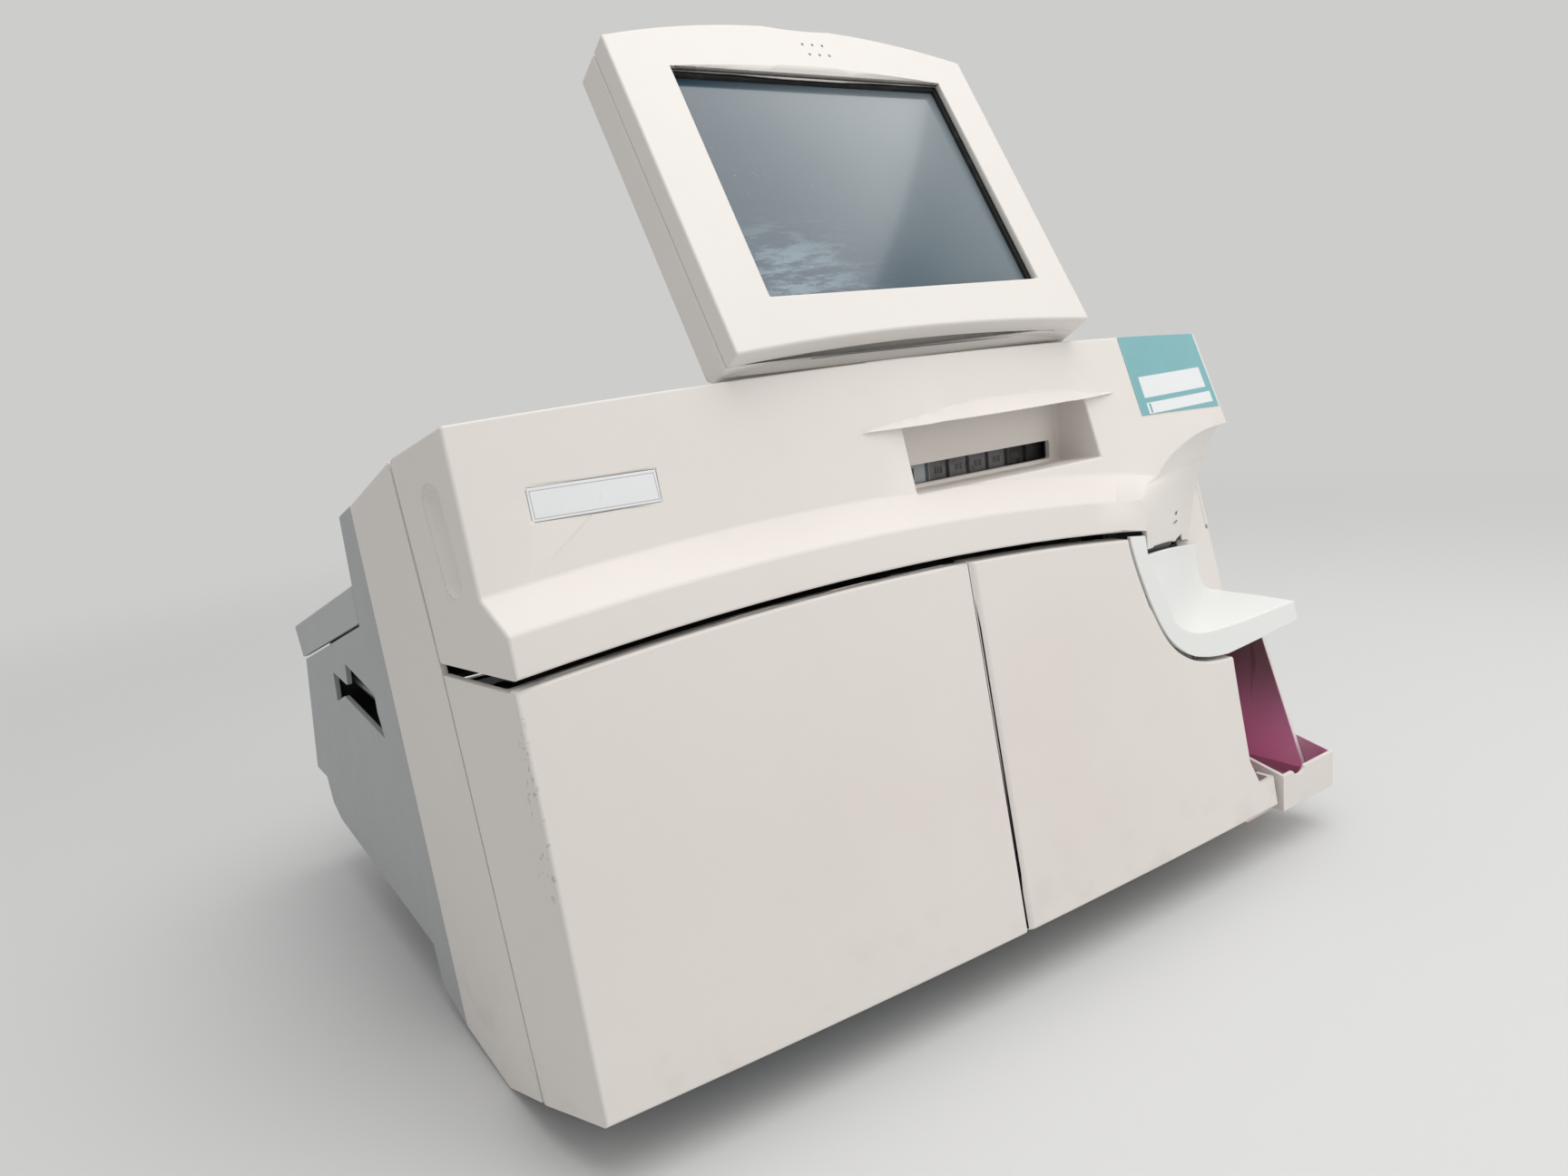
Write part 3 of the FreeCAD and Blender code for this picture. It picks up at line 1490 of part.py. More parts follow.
def rear_spot(x, up):
    """A placement on the slanted rear wall: its own Y points out of the wall, Z up along it."""
    rise = Vector(0, size("shoulder_y") - size("tail_y"), size("shoulder_z") - size("tail_z"))
    angle = math.degrees(math.atan2(-rise.y, rise.z))
    base = Vector(x, size("tail_y"), size("tail_z")) + rise.normalize() * up
    return Placement(base, Rotation(Vector(1, 0, 0), angle))


def rear_holes():
    holes = []
    wall, gap = size("wall"), size("rest_gap")
    reach = wall * 3
    count = int(size("vent_count"))
    for i in range(count):
        slot = block((-size("vent_long") / 2, -reach, -size("vent_high") / 2),
                     (size("vent_long") / 2, reach, size("vent_high") / 2))
        slot.Placement = rear_spot(size("vent_x"), size("inlet_up") + (i - (count - 1) / 2) * size("vent_pitch"))
        holes.append(slot)
    for x, wide, tall in rear_sockets():
        hole = block((-wide / 2 - gap, -reach, -tall / 2 - gap), (wide / 2 + gap, reach, tall / 2 + gap))
        hole.Placement = rear_spot(x, size("inlet_up"))
        holes.append(hole)
    return holes


def rear_sockets():
    """x, width and height of each thing set into the rear wall."""
    sockets = [
        (size("inlet_x"), size("inlet_wide"), size("inlet_tall")),
        (size("switch_x"), size("switch_wide"), size("switch_tall")),
    ]
    for i in range(3):
        sockets.append((size("port_first_x") + i * size("port_pitch"), size("port_wide"), size("port_tall")))
    return sockets


def flanged_block(wide, tall, rim, deep, hollow_wide, hollow_tall, hollow_deep):
    """A block set into the rear wall with a flange outside it and a hollow in its face."""
    wall = size("wall")
    out = wall / 2
    body = block((-wide / 2, -deep, -tall / 2), (wide / 2, out, tall / 2))
    flange = block((-wide / 2 - rim, size("rest_gap") / 3, -tall / 2 - rim), (wide / 2 + rim, out, tall / 2 + rim))
    hollow = block((-hollow_wide / 2, out - hollow_deep, -hollow_tall / 2), (hollow_wide / 2, out + wall, hollow_tall / 2))
    return body.fuse(flange).cut(hollow)


def build_rear_fittings():
    wall = size("wall")
    inlet_wide, inlet_tall, deep = size("inlet_wide"), size("inlet_tall"), size("inlet_deep")
    rim = size("inlet_rim")
    inlet = flanged_block(inlet_wide, inlet_tall, rim, deep, inlet_wide - wall * 1.5, inlet_tall - wall * 1.5, deep * 0.6)
    pins = []
    for x, z in ((-0.25, -0.12), (0.25, -0.12), (0, 0.16)):
        pin = block((x * inlet_wide - wall / 3, wall / 2 - deep * 0.6, z * inlet_tall - wall / 2),
                    (x * inlet_wide + wall / 3, -deep * 0.2, z * inlet_tall + wall / 2))
        pins.append(pin)
    inlet = inlet.multiFuse(pins)
    holder = node("power_inlet", shape_object("power_inlet", inlet))
    holder.Placement = rear_spot(size("inlet_x"), size("inlet_up"))
    wide, tall = size("switch_wide"), size("switch_tall")
    rocker_wide, rocker_tall = size("rocker_wide"), size("rocker_tall")
    frame = flanged_block(wide, tall, wall / 2, deep * 0.6, rocker_wide + wall / 2, rocker_tall + wall, deep * 0.4)
    holder = node("switch_frame", shape_object("switch_frame", frame))
    spot = rear_spot(size("switch_x"), size("inlet_up"))
    holder.Placement = spot
    rocker = doc.addObject("Part::Wedge", "power_rocker")
    for prop, text in (("Xmin", "-rocker_wide/2"), ("Xmax", "rocker_wide/2"), ("X2min", "-rocker_wide/2"),
                       ("X2max", "rocker_wide/2"), ("Ymin", "-wall"), ("Ymax", "wall*0.9"),
                       ("Zmin", "-rocker_tall/2"), ("Zmax", "rocker_tall/2"), ("Z2min", "-rocker_tall/2.4"),
                       ("Z2max", "rocker_tall/2")):
        bind(rocker, **{prop: text})
    rocker.Placement = spot
    node("power_rocker", rocker)
    ports = []
    for i, (x, port_wide, port_tall) in enumerate(rear_sockets()[2:]):
        port = flanged_block(port_wide, port_tall, wall / 2, wall * 3, port_wide - wall, port_tall - wall, wall * 2)
        port.Placement = rear_spot(x, size("inlet_up"))
        ports.append(shape_object(f"data_port_{i}", port))
    node("data_ports", group("data_ports", ports))


def lid_outline(inset):
    front = size("strip_y") + size("seam")
    top_low = size("lid_front_z") - size("lid_skirt") + size("seam")
    tail_y = size("lid_rear_y") - size("lid_tuck")
    tail_z = size("shoulder_z") + size("seam") / 2
    low = size("overrun") if inset else 0.0
    return [
        (front + inset, size("lid_front_z") - inset),
        (size("lid_rear_y") - inset * 1.3, size("lid_rear_z") - inset * 0.9),
        (tail_y - inset * 1.3, tail_z - low),
        (front + inset, top_low - low),
    ]


def build_lid():
    half, wall = size("casing_half"), size("wall")
    lid = slab(lid_outline(0.0), -half, half).cut(slab(lid_outline(wall), -half + wall, half - wall))
    hinge_y, hinge_z = pair("lid_hinge")
    knuckle_long, gap = size("lid_knuckle_long"), size("rest_gap")
    ends = []
    for side in (-1, 1):
        for hand in (-1, 1):
            centre = side * size("lid_hinge_x") + hand * (knuckle_long + gap)
            x = centre - knuckle_long / 2
            web = block((x, hinge_y - wall, hinge_z), (x + knuckle_long, hinge_y + wall / 2,
                                                       hinge_z + size("lid_knuckle") * 3))
            barrel = Part.makeCylinder(size("lid_knuckle"), knuckle_long, Vector(x, hinge_y, hinge_z), Vector(1, 0, 0))
            ends.extend([web, barrel])
    lid = lid.multiFuse(ends)
    play = size("lid_pin") + size("pin_play")
    lid = lid.cut(Part.makeCylinder(play, 2 * half, Vector(-half, hinge_y, hinge_z), Vector(1, 0, 0)))
    node("rear_lid", shape_object("rear_lid", lid))
    pins = []
    for side in ("-", ""):
        tag = "left" if side else "right"
        pins.append(rod(f"lid_pin_{tag}", "lid_pin", "lid_knuckle_long*3",
                        (f"{side}lid_hinge_x-lid_knuckle_long*1.5", "lid_hinge_y", "lid_hinge_z"), "x"))
    node("lid_hinge_pins", group("lid_hinge_pins", pins))


def build_grips():
    wall, half = size("wall"), size("casing_half")
    deep = size("grip_deep")
    low = (size("grip_front_y") - wall * 2, size("grip_low_z") - wall * 3)
    high = (size("grip_rear_y") + wall * 2, size("grip_high_z") + wall * 2)
    liners, bars = [], []
    for side in (-1, 1):
        near, far = half - wall - size("rest_gap") / 3, half - wall - deep
        xs = sorted((side * near, side * far))
        outer = block((xs[0], low[0], low[1]), (xs[1], high[0], high[1]))
        cuts = sorted((side * (half + wall), side * (far + wall / 2)))
        inner = block((cuts[0], low[0] + wall / 2, low[1] + wall / 2), (cuts[1], high[0] - wall / 2, high[1] - wall / 2))
        liners.append(shape_object(f"liner_{'left' if side < 0 else 'right'}", outer.cut(inner)))
        bar_x = side * (half - deep / 2)
        inset = wall / 2 + size("rest_gap") * 2.5
        start = Vector(bar_x, low[0] + inset, size("grip_low_z") + size("grip_rod"))
        end = Vector(bar_x, high[0] - inset, size("grip_low_z") + size("grip_rod") * 3)
        bars.append(shape_object(f"bar_{'left' if side < 0 else 'right'}",
                                 Part.makeCylinder(size("grip_rod"), (end - start).Length, start, end - start)))
    node("grip_liners", group("grip_liners", liners))
    node("grip_bars", group("grip_bars", bars))


# Screen


def screen_spot():
    lean = Rotation(Vector(1, 0, 0), -size("screen_lean_degrees"))
    return Placement(Vector(0, size("screen_y"), size("screen_z")), lean)


def bezel_face(inset, y):
    """The screen housing's outline in its own frame, X across and Z up its face."""
    half, middle = size("bezel_half") - inset, size("bezel_x")
    high, peak = size("bezel_shoulder") - inset, size("bezel_peak") - inset
    low, low_peak = size("bezel_low") + inset, size("bezel_low_peak") + inset
    corners = [Vector(middle - half, y, high), Vector(middle + half, y, high),
               Vector(middle + half, y, low), Vector(middle - half, y, low)]
    edges = [
        Part.Arc(corners[0], Vector(middle, y, peak), corners[1]).toShape(),
        Part.makeLine(corners[1], corners[2]),
        Part.Arc(corners[2], Vector(middle, y, low_peak), corners[3]).toShape(),
        Part.makeLine(corners[3], corners[0]),
    ]
    return Part.Face(Part.Wire(edges))


def bezel_prism(inset, front, back):
    return bezel_face(inset, front).extrude(Vector(0, back - front, 0))


def arc_face(half, base, rise, y):
    """The face between a chord and the arc over it, in the screen's own frame."""
    left, right = Vector(-half, y, base), Vector(half, y, base)
    arc = Part.Arc(left, Vector(0, y, base + rise), right).toShape()
    return Part.Wire([arc, Part.makeLine(right, left)])


def brow_solid():
    """The sloping crescent over the display, deepest at the opening's edge."""
    half, base = size("display_half"), size("display_high_half") - size("rest_gap")
    rise, deep = size("brow_rise"), size("brow_deep")
    ahead = deep / 2
    sections = [arc_face(half, base, rise * (1 + ahead / deep), -ahead), arc_face(half, base, size("rest_gap") * 2, deep)]
    return solid_through(sections, True)


def thumb_solid():
    """The shallow dip in the middle of the housing's top edge."""
    half, deep = size("thumb_half"), size("thumb_deep")
    radius = (half ** 2 + deep ** 2) / (2 * deep)
    top = size("bezel_peak") - deep
    centre = Vector(size("thumb_x"), -size("overrun"), top + radius)
    return Part.makeCylinder(radius, size("overrun") + size("bezel_deep") / 2, centre, Vector(0, 1, 0))


def build_screen():
    wall, deep, gap = size("wall"), size("bezel_deep"), size("rest_gap")
    half, high_half = size("display_half"), size("display_high_half")
    spot = screen_spot()
    over = size("overrun")
    front = bezel_prism(0.0, 0.0, deep).cut(bezel_prism(wall, wall, deep + over))
    rim = size("gasket_rim")
    collar = block((-half - rim - wall, 0, -high_half - rim - wall), (half + rim + wall, size("glass_sink"), high_half + rim + wall))
    opening = block((-half, -over, -high_half), (half, deep, high_half))
    front = front.fuse(collar).cut(opening).cut(brow_solid()).cut(thumb_solid())
    holes = []
    for i in range(3):
        for j in range(2):
            x = size("speaker_x") + (i - 1) * size("speaker_r") * 0.7 + j * size("speaker_r") * 0.2
            z = size("speaker_up") + (0.5 - j) * size("speaker_r") * 0.7
            holes.append(Part.makeCylinder(size("speaker_r") * 0.09, wall * 3, Vector(x, -wall, z), Vector(0, 1, 0)))
    front = front.cut(holes)
    node("screen_bezel", shape_object("screen_bezel", front)).Placement = spot
    start, end = deep + gap, size("screen_deep")
    back = bezel_prism(0.0, start, end).cut(bezel_prism(wall, start - over, end - wall))
    foot = size("screen_foot_cut")
    low = size("bezel_low")
    wedge = slab([(end - foot, low - wall), (end + wall, low - wall), (end + wall, low + foot)],
                 -size("bezel_half") * 2, size("bezel_half") * 2)
    lining = slab([(end - foot - wall, low), (end, low + foot + wall), (end - wall * 1.5, low + foot + wall * 2.5),
                   (end - foot - wall * 2.5, low + wall)], -size("bezel_half") + size("bezel_x"),
                  size("bezel_half") + size("bezel_x"))
    back = back.fuse(lining).cut(wedge)
    pin_y, pin_z = size("tilt_y"), size("tilt_z")
    boss, arm, clear = size("arm_boss"), size("arm_thick"), size("arm_thick")
    ribs = []
    for side in (-1, 1):
        x = side * size("arm_x")
        slot = block((x - arm / 2 - clear / 2, pin_y - boss - clear / 3, pin_z - boss * 1.6),
                     (x + arm / 2 + clear / 2, end + wall, pin_z + boss * 2.2))
        back = back.cut(slot)
        rib_x = side * (size("arm_x") + arm)
        xs = sorted((rib_x, rib_x + side * arm))
        ribs.append(block((xs[0], pin_y - boss / 1.4, pin_z - boss / 1.4), (xs[1], end - wall / 2, pin_z + boss / 1.4)))
    back = back.multiFuse(ribs)
    reach = size("tilt_pin_half") + size("rest_gap")
    bore = Part.makeCylinder(size("tilt_pin") + size("pin_play"), 2 * reach, Vector(-reach, pin_y, pin_z),
                             Vector(1, 0, 0))
    node("screen_back", shape_object("screen_back", back.cut(bore))).Placement = spot
    sink = size("glass_sink")
    gasket_thick = size("gasket_thick")
    gasket = block((-half - rim, sink, -high_half - rim), (half + rim, sink + gasket_thick, high_half + rim))
    gasket = gasket.cut(block((-half + rim / 2, 0, -high_half + rim / 2), (half - rim / 2, deep, high_half - rim / 2)))
    node("display_gasket", shape_object("display_gasket", gasket)).Placement = spot
    panel_y0 = sink + gasket_thick
    panel = block((-half - rim, panel_y0, -high_half - rim), (half + rim, panel_y0 + size("panel_thick"), high_half + rim))
    node("display_panel", shape_object("display_panel", panel)).Placement = spot
    speaker_at = Vector(size("speaker_x"), wall, size("speaker_up"))
    speaker = Part.makeCylinder(size("speaker_r"), size("speaker_thick"), speaker_at, Vector(0, 1, 0))
    node("speaker", shape_object("speaker", speaker)).Placement = spot


def frame_top_at(y):
    return line_at_y(y, (size("seam_top_y") + size("seam"), size("seam_top_z")), pair("frame_top"))


def line_at_y(y, a, b):
    return a[1] + (y - a[0]) * (b[1] - a[1]) / (b[0] - a[0])


def tilt_axis():
    return screen_spot().multVec(Vector(0, size("tilt_y"), size("tilt_z")))


def build_screen_arms():
    axis = tilt_axis()
    front, rear = size("arm_foot_front_y"), size("arm_foot_rear_y")
    thick, gap = size("arm_foot_thick"), size("rest_gap") / 3
    boss, arm, foot = size("arm_boss"), size("arm_thick"), size("arm_foot_half")
    arms, heads = [], []
    for side in (-1, 1):
        x = side * size("arm_x")
        lift = frame_top_at(front) + gap
        sole = slab([(front, lift), (rear, frame_top_at(rear) + gap), (rear, frame_top_at(rear) + gap + thick),
                     (front, lift + thick)], x - foot, x + foot)
        reach = Vector(0, math.cos(math.radians(size("screen_lean_degrees"))),
                       -math.sin(math.radians(size("screen_lean_degrees"))))
        across = Vector(0, -reach.z, reach.y)
        tip = axis
        corners = [tip + across * boss, tip - across * boss]
        web = slab([(corners[1].y, corners[1].z), (front + thick, lift + thick / 2), (rear - thick, frame_top_at(rear) + thick),
                    (corners[0].y, corners[0].z)], x - arm / 2, x + arm / 2)
        nose = Part.makeCylinder(boss, arm, Vector(x - arm / 2, axis.y, axis.z), Vector(1, 0, 0))
        shape = sole.multiFuse([web, nose])
        bore = Part.makeCylinder(size("tilt_pin"), arm * 4, Vector(x - arm * 2, axis.y, axis.z), Vector(1, 0, 0))
        arms.append(shape_object(f"arm_{'left' if side < 0 else 'right'}", shape.cut(bore)))
        for hand in (-1, 1):
            for y in (front + foot, rear - foot / 2):
                base = Vector(x + hand * foot * 0.6, y, frame_top_at(y) + gap + thick)
                upright = Vector(0, frame_top_at(front) - frame_top_at(rear), rear - front)
                heads.append(shape_object(f"bolt_{len(heads)}",
                                          Part.makeCylinder(size("bolt_r"), size("bolt_head"), base, upright)))
    node("screen_arms", group("screen_arms", arms))
    node("arm_bolts", group("arm_bolts", heads))
    pin = Part.makeCylinder(size("tilt_pin"), 2 * size("tilt_pin_half"),
                            Vector(-size("tilt_pin_half"), axis.y, axis.z), Vector(1, 0, 0))
    node("tilt_pin_rod", shape_object("tilt_pin_rod", pin))


# Contents


def build_mid_shelf():
    rear = box("shelf_rear", ("-pan_half", "mid_shelf_front_y", "mid_shelf_z-pan_sheet"),
               ("pan_half", "mid_shelf_rear_y", "mid_shelf_z"))
    tongue = box("shelf_tongue", ("hinge_plate_x", "deck_front_y", "mid_shelf_z-pan_sheet"),
                 ("tongue_right_x", "mid_shelf_front_y+pan_sheet", "mid_shelf_z"))
    node("mid_shelf", fuse("mid_shelf", [rear, tongue]))


def build_cartridges():
    for name, left, right in (("reagent_cartridge", "reagent_left", "reagent_right"),
                              ("wash_cartridge", "wash_left", "wash_right")):
        body = new_body(name, (left, "cartridge_front_y", "deck_low_z+rest_gap/3"))
        face = sketch_on(body, name + "_face", "XY_Plane")
        draw_outline(face, [("0", "0"), (f"({right})-({left})", "0"),
                            (f"({right})-({left})", "cartridge_rear_y-cartridge_front_y"),
                            ("0", "cartridge_rear_y-cartridge_front_y")])
        pad(body, face, name + "_block", "cartridge_top-deck_low_z-rest_gap/3")
        doc.recompute()
        grip = sketch_on(body, name + "_grip", "XY_Plane", "cartridge_top-deck_low_z-cartridge_grip")
        middle = f"(({right})-({left}))/2"
        draw_outline(grip, [(f"{middle}-cartridge_grip/2", "-cartridge_grip_deep"),
                            (f"{middle}+cartridge_grip/2", "-cartridge_grip_deep"),
                            (f"{middle}+cartridge_grip/2", "cartridge_grip_deep"),
                            (f"{middle}-cartridge_grip/2", "cartridge_grip_deep")])
        pocket(body, grip, name + "_hand", "cartridge_grip/2")
        node(name, body)


def build_measuring_block():
    back = box("block_core", ("block_left", "block_front_y", "mid_shelf_z"), ("block_right", "block_rear_y", "block_top"))
    node("measuring_block", back)
    cassettes = []
    for i in range(int(size("cassette_count"))):
        x = f"cassette_first_x+{i}*cassette_pitch"
        cassettes.append(box(f"cassette_{i}", (x, "block_front_y-cassette_deep", "cassette_low"),
                             (f"{x}+cassette_wide", "block_front_y", "cassette_low+cassette_tall")))
    node("sensor_cassettes", group("sensor_cassettes", cassettes))


def build_pump():
    plate = box("pump_plate_sheet", ("pump_plate_left", "pump_plate_y", "deck_low_z"),
                ("pump_plate_right", "pump_plate_y+pump_plate_thick", "pump_plate_top"))
    hole = rod("pump_plate_hole", "pump_shaft+rest_gap", "overrun*2",
               ("pump_x", "pump_plate_y-overrun", "pump_z"), "y")
    node("pump_plate", cut("pump_plate", plate, hole))
    housing = rod("pump_drum", "pump_r", "pump_deep", ("pump_x", "pump_plate_y-pump_deep", "pump_z"), "y")
    race = rod("pump_race", "pump_rotor_r+pump_roller_r+rest_gap*4", "overrun*2",
               ("pump_x", "pump_plate_y-pan_sheet-overrun*2", "pump_z"), "y")
    bore = rod("pump_bore", "pump_shaft+rest_gap", "overrun*3", ("pump_x", "pump_plate_y-overrun*2", "pump_z"), "y")
    node("pump_housing", cut("pump_housing", housing, [race, bore]))
    rotor = new_body("pump_rotor", ("pump_x", "pump_plate_y", "pump_z"))
    face = sketch_on(rotor, "rotor_face", "XZ_Plane", "pan_sheet+rest_gap*2")
    draw_circle(face, "pump_rotor_r-pump_roller_r")
    pad(rotor, face, "rotor_disc", "pump_deep-pan_sheet-rest_gap*2")
    doc.recompute()
    roller = sketch_on(rotor, "roller_face", "XZ_Plane", "pan_sheet+rest_gap*2")
    draw_circle(roller, "pump_roller_r", "0.1*rest_gap", "pump_rotor_r-pump_roller_r")
    roller_pad = pad(rotor, roller, "roller_pad", "pump_deep-pan_sheet-rest_gap*2")
    doc.recompute()
    ring = rotor.newObject("PartDesign::PolarPattern", "roller_ring")
    ring.Originals = [roller_pad]
    ring.Axis = (face, ["N_Axis"])
    ring.Angle = 360
    ring.Occurrences = int(size("pump_roller_count"))
    rotor.Tip = ring
    doc.recompute()
    shaft = sketch_on(rotor, "shaft_face", "XZ_Plane", "-pump_plate_thick*2")
    draw_circle(shaft, "pump_shaft")
    pad(rotor, shaft, "shaft_pad", "pump_plate_thick*2+pan_sheet*2")
    node("pump_rotor", rotor)
    motor = rod("pump_motor_can", "pump_motor_r", "pump_motor_long",
                ("pump_x", "pump_plate_y+pump_plate_thick", "pump_z"), "y")
    socket = rod("pump_motor_socket", "pump_shaft+pin_play", "pump_plate_thick+rest_gap",
                 ("pump_x", "pump_plate_y+pump_plate_thick-rest_gap", "pump_z"), "y")
    node("pump_motor", cut("pump_motor", motor, socket))


def build_electronics():
    board = box("board_sheet", ("board_left", "board_front_y", "deck_high_z+spacer_tall"),
                ("board_right", "board_rear_y", "deck_high_z+spacer_tall+board_thick"))
    node("main_board", board)
    spacers = []
    for x in ("board_left+spacer_r*2", "board_right-spacer_r*2"):
        for y in ("board_front_y+spacer_r*2", "board_rear_y-spacer_r*2"):
            spacers.append(rod(f"spacer_{len(spacers)}", "spacer_r", "spacer_tall", (x, y, "deck_high_z")))
    node("board_spacers", group("board_spacers", spacers))
    node("power_supply", box("supply_case", ("supply_left", "supply_front_y", "deck_high_z"),
                             ("supply_right", "supply_rear_y", "deck_high_z+supply_tall")))


def build_fan():
    frame = box("fan_block", ("fan_x-fan_size/2", "fan_y", "deck_high_z"),
                ("fan_x+fan_size/2", "fan_y+fan_deep", "deck_high_z+fan_size"))
    bore = rod("fan_hole", "fan_bore", "fan_deep+overrun*2",
               ("fan_x", "fan_y-overrun", "deck_high_z+fan_size/2"), "y")
    ring = cut("fan_ring", frame, bore)
    bar = box("fan_bar", ("fan_x-fan_bore-fan_blade", "fan_y", "deck_high_z+fan_size/2-fan_hub/2"),
              ("fan_x+fan_bore+fan_blade", "fan_y+fan_blade*2", "deck_high_z+fan_size/2+fan_hub/2"))
    shaft = rod("fan_pin", "fan_shaft", "fan_deep*0.7", ("fan_x", "fan_y", "deck_high_z+fan_size/2"), "y")
    node("fan_frame", fuse("fan_frame", [ring, bar, shaft]))
    rotor = new_body("fan_rotor", ("fan_x", "fan_y", "deck_high_z+fan_size/2"))
    hub = sketch_on(rotor, "hub_face", "XZ_Plane", "-fan_deep+fan_blade")
    draw_circle(hub, "fan_hub")
    draw_circle(hub, "fan_shaft+pin_play")
    pad(rotor, hub, "hub_pad", "fan_deep-fan_blade*4")
    doc.recompute()
    blade = sketch_on(rotor, "blade_face", "XZ_Plane", "-fan_deep+fan_blade*2")
    draw_outline(blade, [("-fan_blade/2", "fan_hub-fan_blade"), ("fan_blade/2", "fan_hub-fan_blade"),
                         ("fan_blade*2", "fan_tip"), ("-fan_blade*2", "fan_tip")])
    blade_pad = pad(rotor, blade, "blade_pad", "fan_deep-fan_blade*6")
    doc.recompute()
    ring = rotor.newObject("PartDesign::PolarPattern", "blade_ring")
    ring.Originals = [blade_pad]
    ring.Axis = (hub, ["N_Axis"])
    ring.Angle = 360
    ring.Occurrences = int(size("fan_blades"))
    rotor.Tip = ring
    node("fan_rotor", rotor)


def build_printer():
    low, back = "printer_low", "strip_y+rest_gap/3"
    frame = box("printer_block", ("-printer_half", back, low), ("printer_half", f"{back}+printer_deep", "printer_top"))
    room = rod("printer_room", "roll_room", "(printer_half-printer_cheek)*2",
               ("-printer_half+printer_cheek", "roll_y", "roll_z"), "x")
    mouth = box("printer_mouth", ("-printer_half+printer_cheek", "roll_y-roll_room", "roll_z"),
                ("printer_half-printer_cheek", "roll_y+roll_room", "roll_z+overrun*2"))
    hole = rod("printer_seat", "spindle_r", "printer_half*2", ("-printer_half", "roll_y", "roll_z"), "x")
    node("printer_body", cut("printer_body", frame, [room, mouth, hole]))
    spindle = rod("roll_spindle_rod", "spindle_r", "printer_half*2", ("-printer_half", "roll_y", "roll_z"), "x")
    node("roll_spindle", spindle)
    roll = new_body("paper_roll", ("-printer_half+printer_cheek+rest_gap*3", "roll_y", "roll_z"))
    ring = sketch_on(roll, "roll_ring", "YZ_Plane")
    draw_circle(ring, "roll_r")
    draw_circle(ring, "spindle_r+pin_play")
    pad(roll, ring, "roll_pad", "(printer_half-printer_cheek-rest_gap*3)*2")
    node("paper_roll", roll)


build_base()
build_mid_frame()
build_hood()
build_window()
build_left_door()
build_right_door()
build_hinges()
build_sample_rest()
build_bay_panel()
build_probe()
build_well()
build_rear_body()
build_rear_fittings()
build_lid()
build_grips()
build_screen()
build_screen_arms()
build_mid_shelf()
build_cartridges()
build_measuring_block()
build_pump()
build_electronics()
build_fan()
build_printer()
doc.recompute()

# Checks and files

faults = []
for item in doc.Objects:
    if "Invalid" in item.State or "Error" in item.State:
        faults.append(f"{item.Name}: {item.State}")
for name, piece in NODES.items():
    if piece.Shape.isNull() or not piece.Shape.isValid():
        faults.append(f"{name}: no valid shape")
if faults:
    raise RuntimeError("; ".join(faults))

os.makedirs("parts", exist_ok=True)
for name, piece in NODES.items():
    piece.Shape.exportStep(f"parts/{name}.step")
    box_of = piece.Shape.BoundBox
    print(f"{name:20s} solids {len(piece.Shape.Solids)} volume {piece.Shape.Volume / 1000:9.1f} cm3  "
          f"x {box_of.XMin:7.1f} {box_of.XMax:7.1f}  y {box_of.YMin:7.1f} {box_of.YMax:7.1f}  "
          f"z {box_of.ZMin:7.1f} {box_of.ZMax:7.1f}")
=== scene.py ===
"""Looks of a bench blood gas analyzer: white front housing, sample bay, grey rear body and tilting screen."""

import json
import math

import bmesh
import bpy
from bpy.props import FloatProperty, FloatVectorProperty, IntProperty, PointerProperty
from mathutils import Matrix, Vector
from mathutils.bvhtree import BVHTree

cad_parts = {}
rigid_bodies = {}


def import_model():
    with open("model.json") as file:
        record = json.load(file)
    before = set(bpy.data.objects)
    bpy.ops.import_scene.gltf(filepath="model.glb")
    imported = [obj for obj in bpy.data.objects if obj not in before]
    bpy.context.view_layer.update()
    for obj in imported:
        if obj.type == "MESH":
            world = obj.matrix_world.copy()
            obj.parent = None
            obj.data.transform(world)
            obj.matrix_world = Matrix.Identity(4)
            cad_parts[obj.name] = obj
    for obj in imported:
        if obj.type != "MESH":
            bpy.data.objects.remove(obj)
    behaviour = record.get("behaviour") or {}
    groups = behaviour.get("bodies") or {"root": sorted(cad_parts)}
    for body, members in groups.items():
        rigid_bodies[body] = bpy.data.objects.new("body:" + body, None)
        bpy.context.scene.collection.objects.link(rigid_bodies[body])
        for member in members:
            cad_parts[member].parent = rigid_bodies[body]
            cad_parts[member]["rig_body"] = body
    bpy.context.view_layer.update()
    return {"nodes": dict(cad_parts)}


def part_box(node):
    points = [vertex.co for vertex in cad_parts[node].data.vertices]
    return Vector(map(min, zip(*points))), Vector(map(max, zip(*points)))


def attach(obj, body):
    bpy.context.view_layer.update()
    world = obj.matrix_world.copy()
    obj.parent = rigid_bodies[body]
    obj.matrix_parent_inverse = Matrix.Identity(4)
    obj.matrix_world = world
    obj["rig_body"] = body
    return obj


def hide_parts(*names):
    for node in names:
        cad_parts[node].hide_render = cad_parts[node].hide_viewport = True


bl_info = {
    "name": "Blood Gas Analyzer",
    "version": (1, 0, 0),
    "blender": (4, 5, 0),
    "location": "View3D > Sidebar > Analyzer",
    "description": "Dresses the packed analyzer with rounded housings, finishes, small fittings and a studio",
    "category": "Object",
}

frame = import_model()
MM = 0.001


def paint(red, green, blue):
    """A colour given by its screen values, as the linear values that a shader takes."""
    shares = [c / 255 for c in (red, green, blue)]
    return tuple(c / 12.92 if c <= 0.04045 else ((c + 0.055) / 1.055) ** 2.4 for c in shares)


def colour_property(name, description, value):
    return FloatVectorProperty(name=name, description=description, subtype="COLOR", size=3, min=0, max=1,
                               default=value)


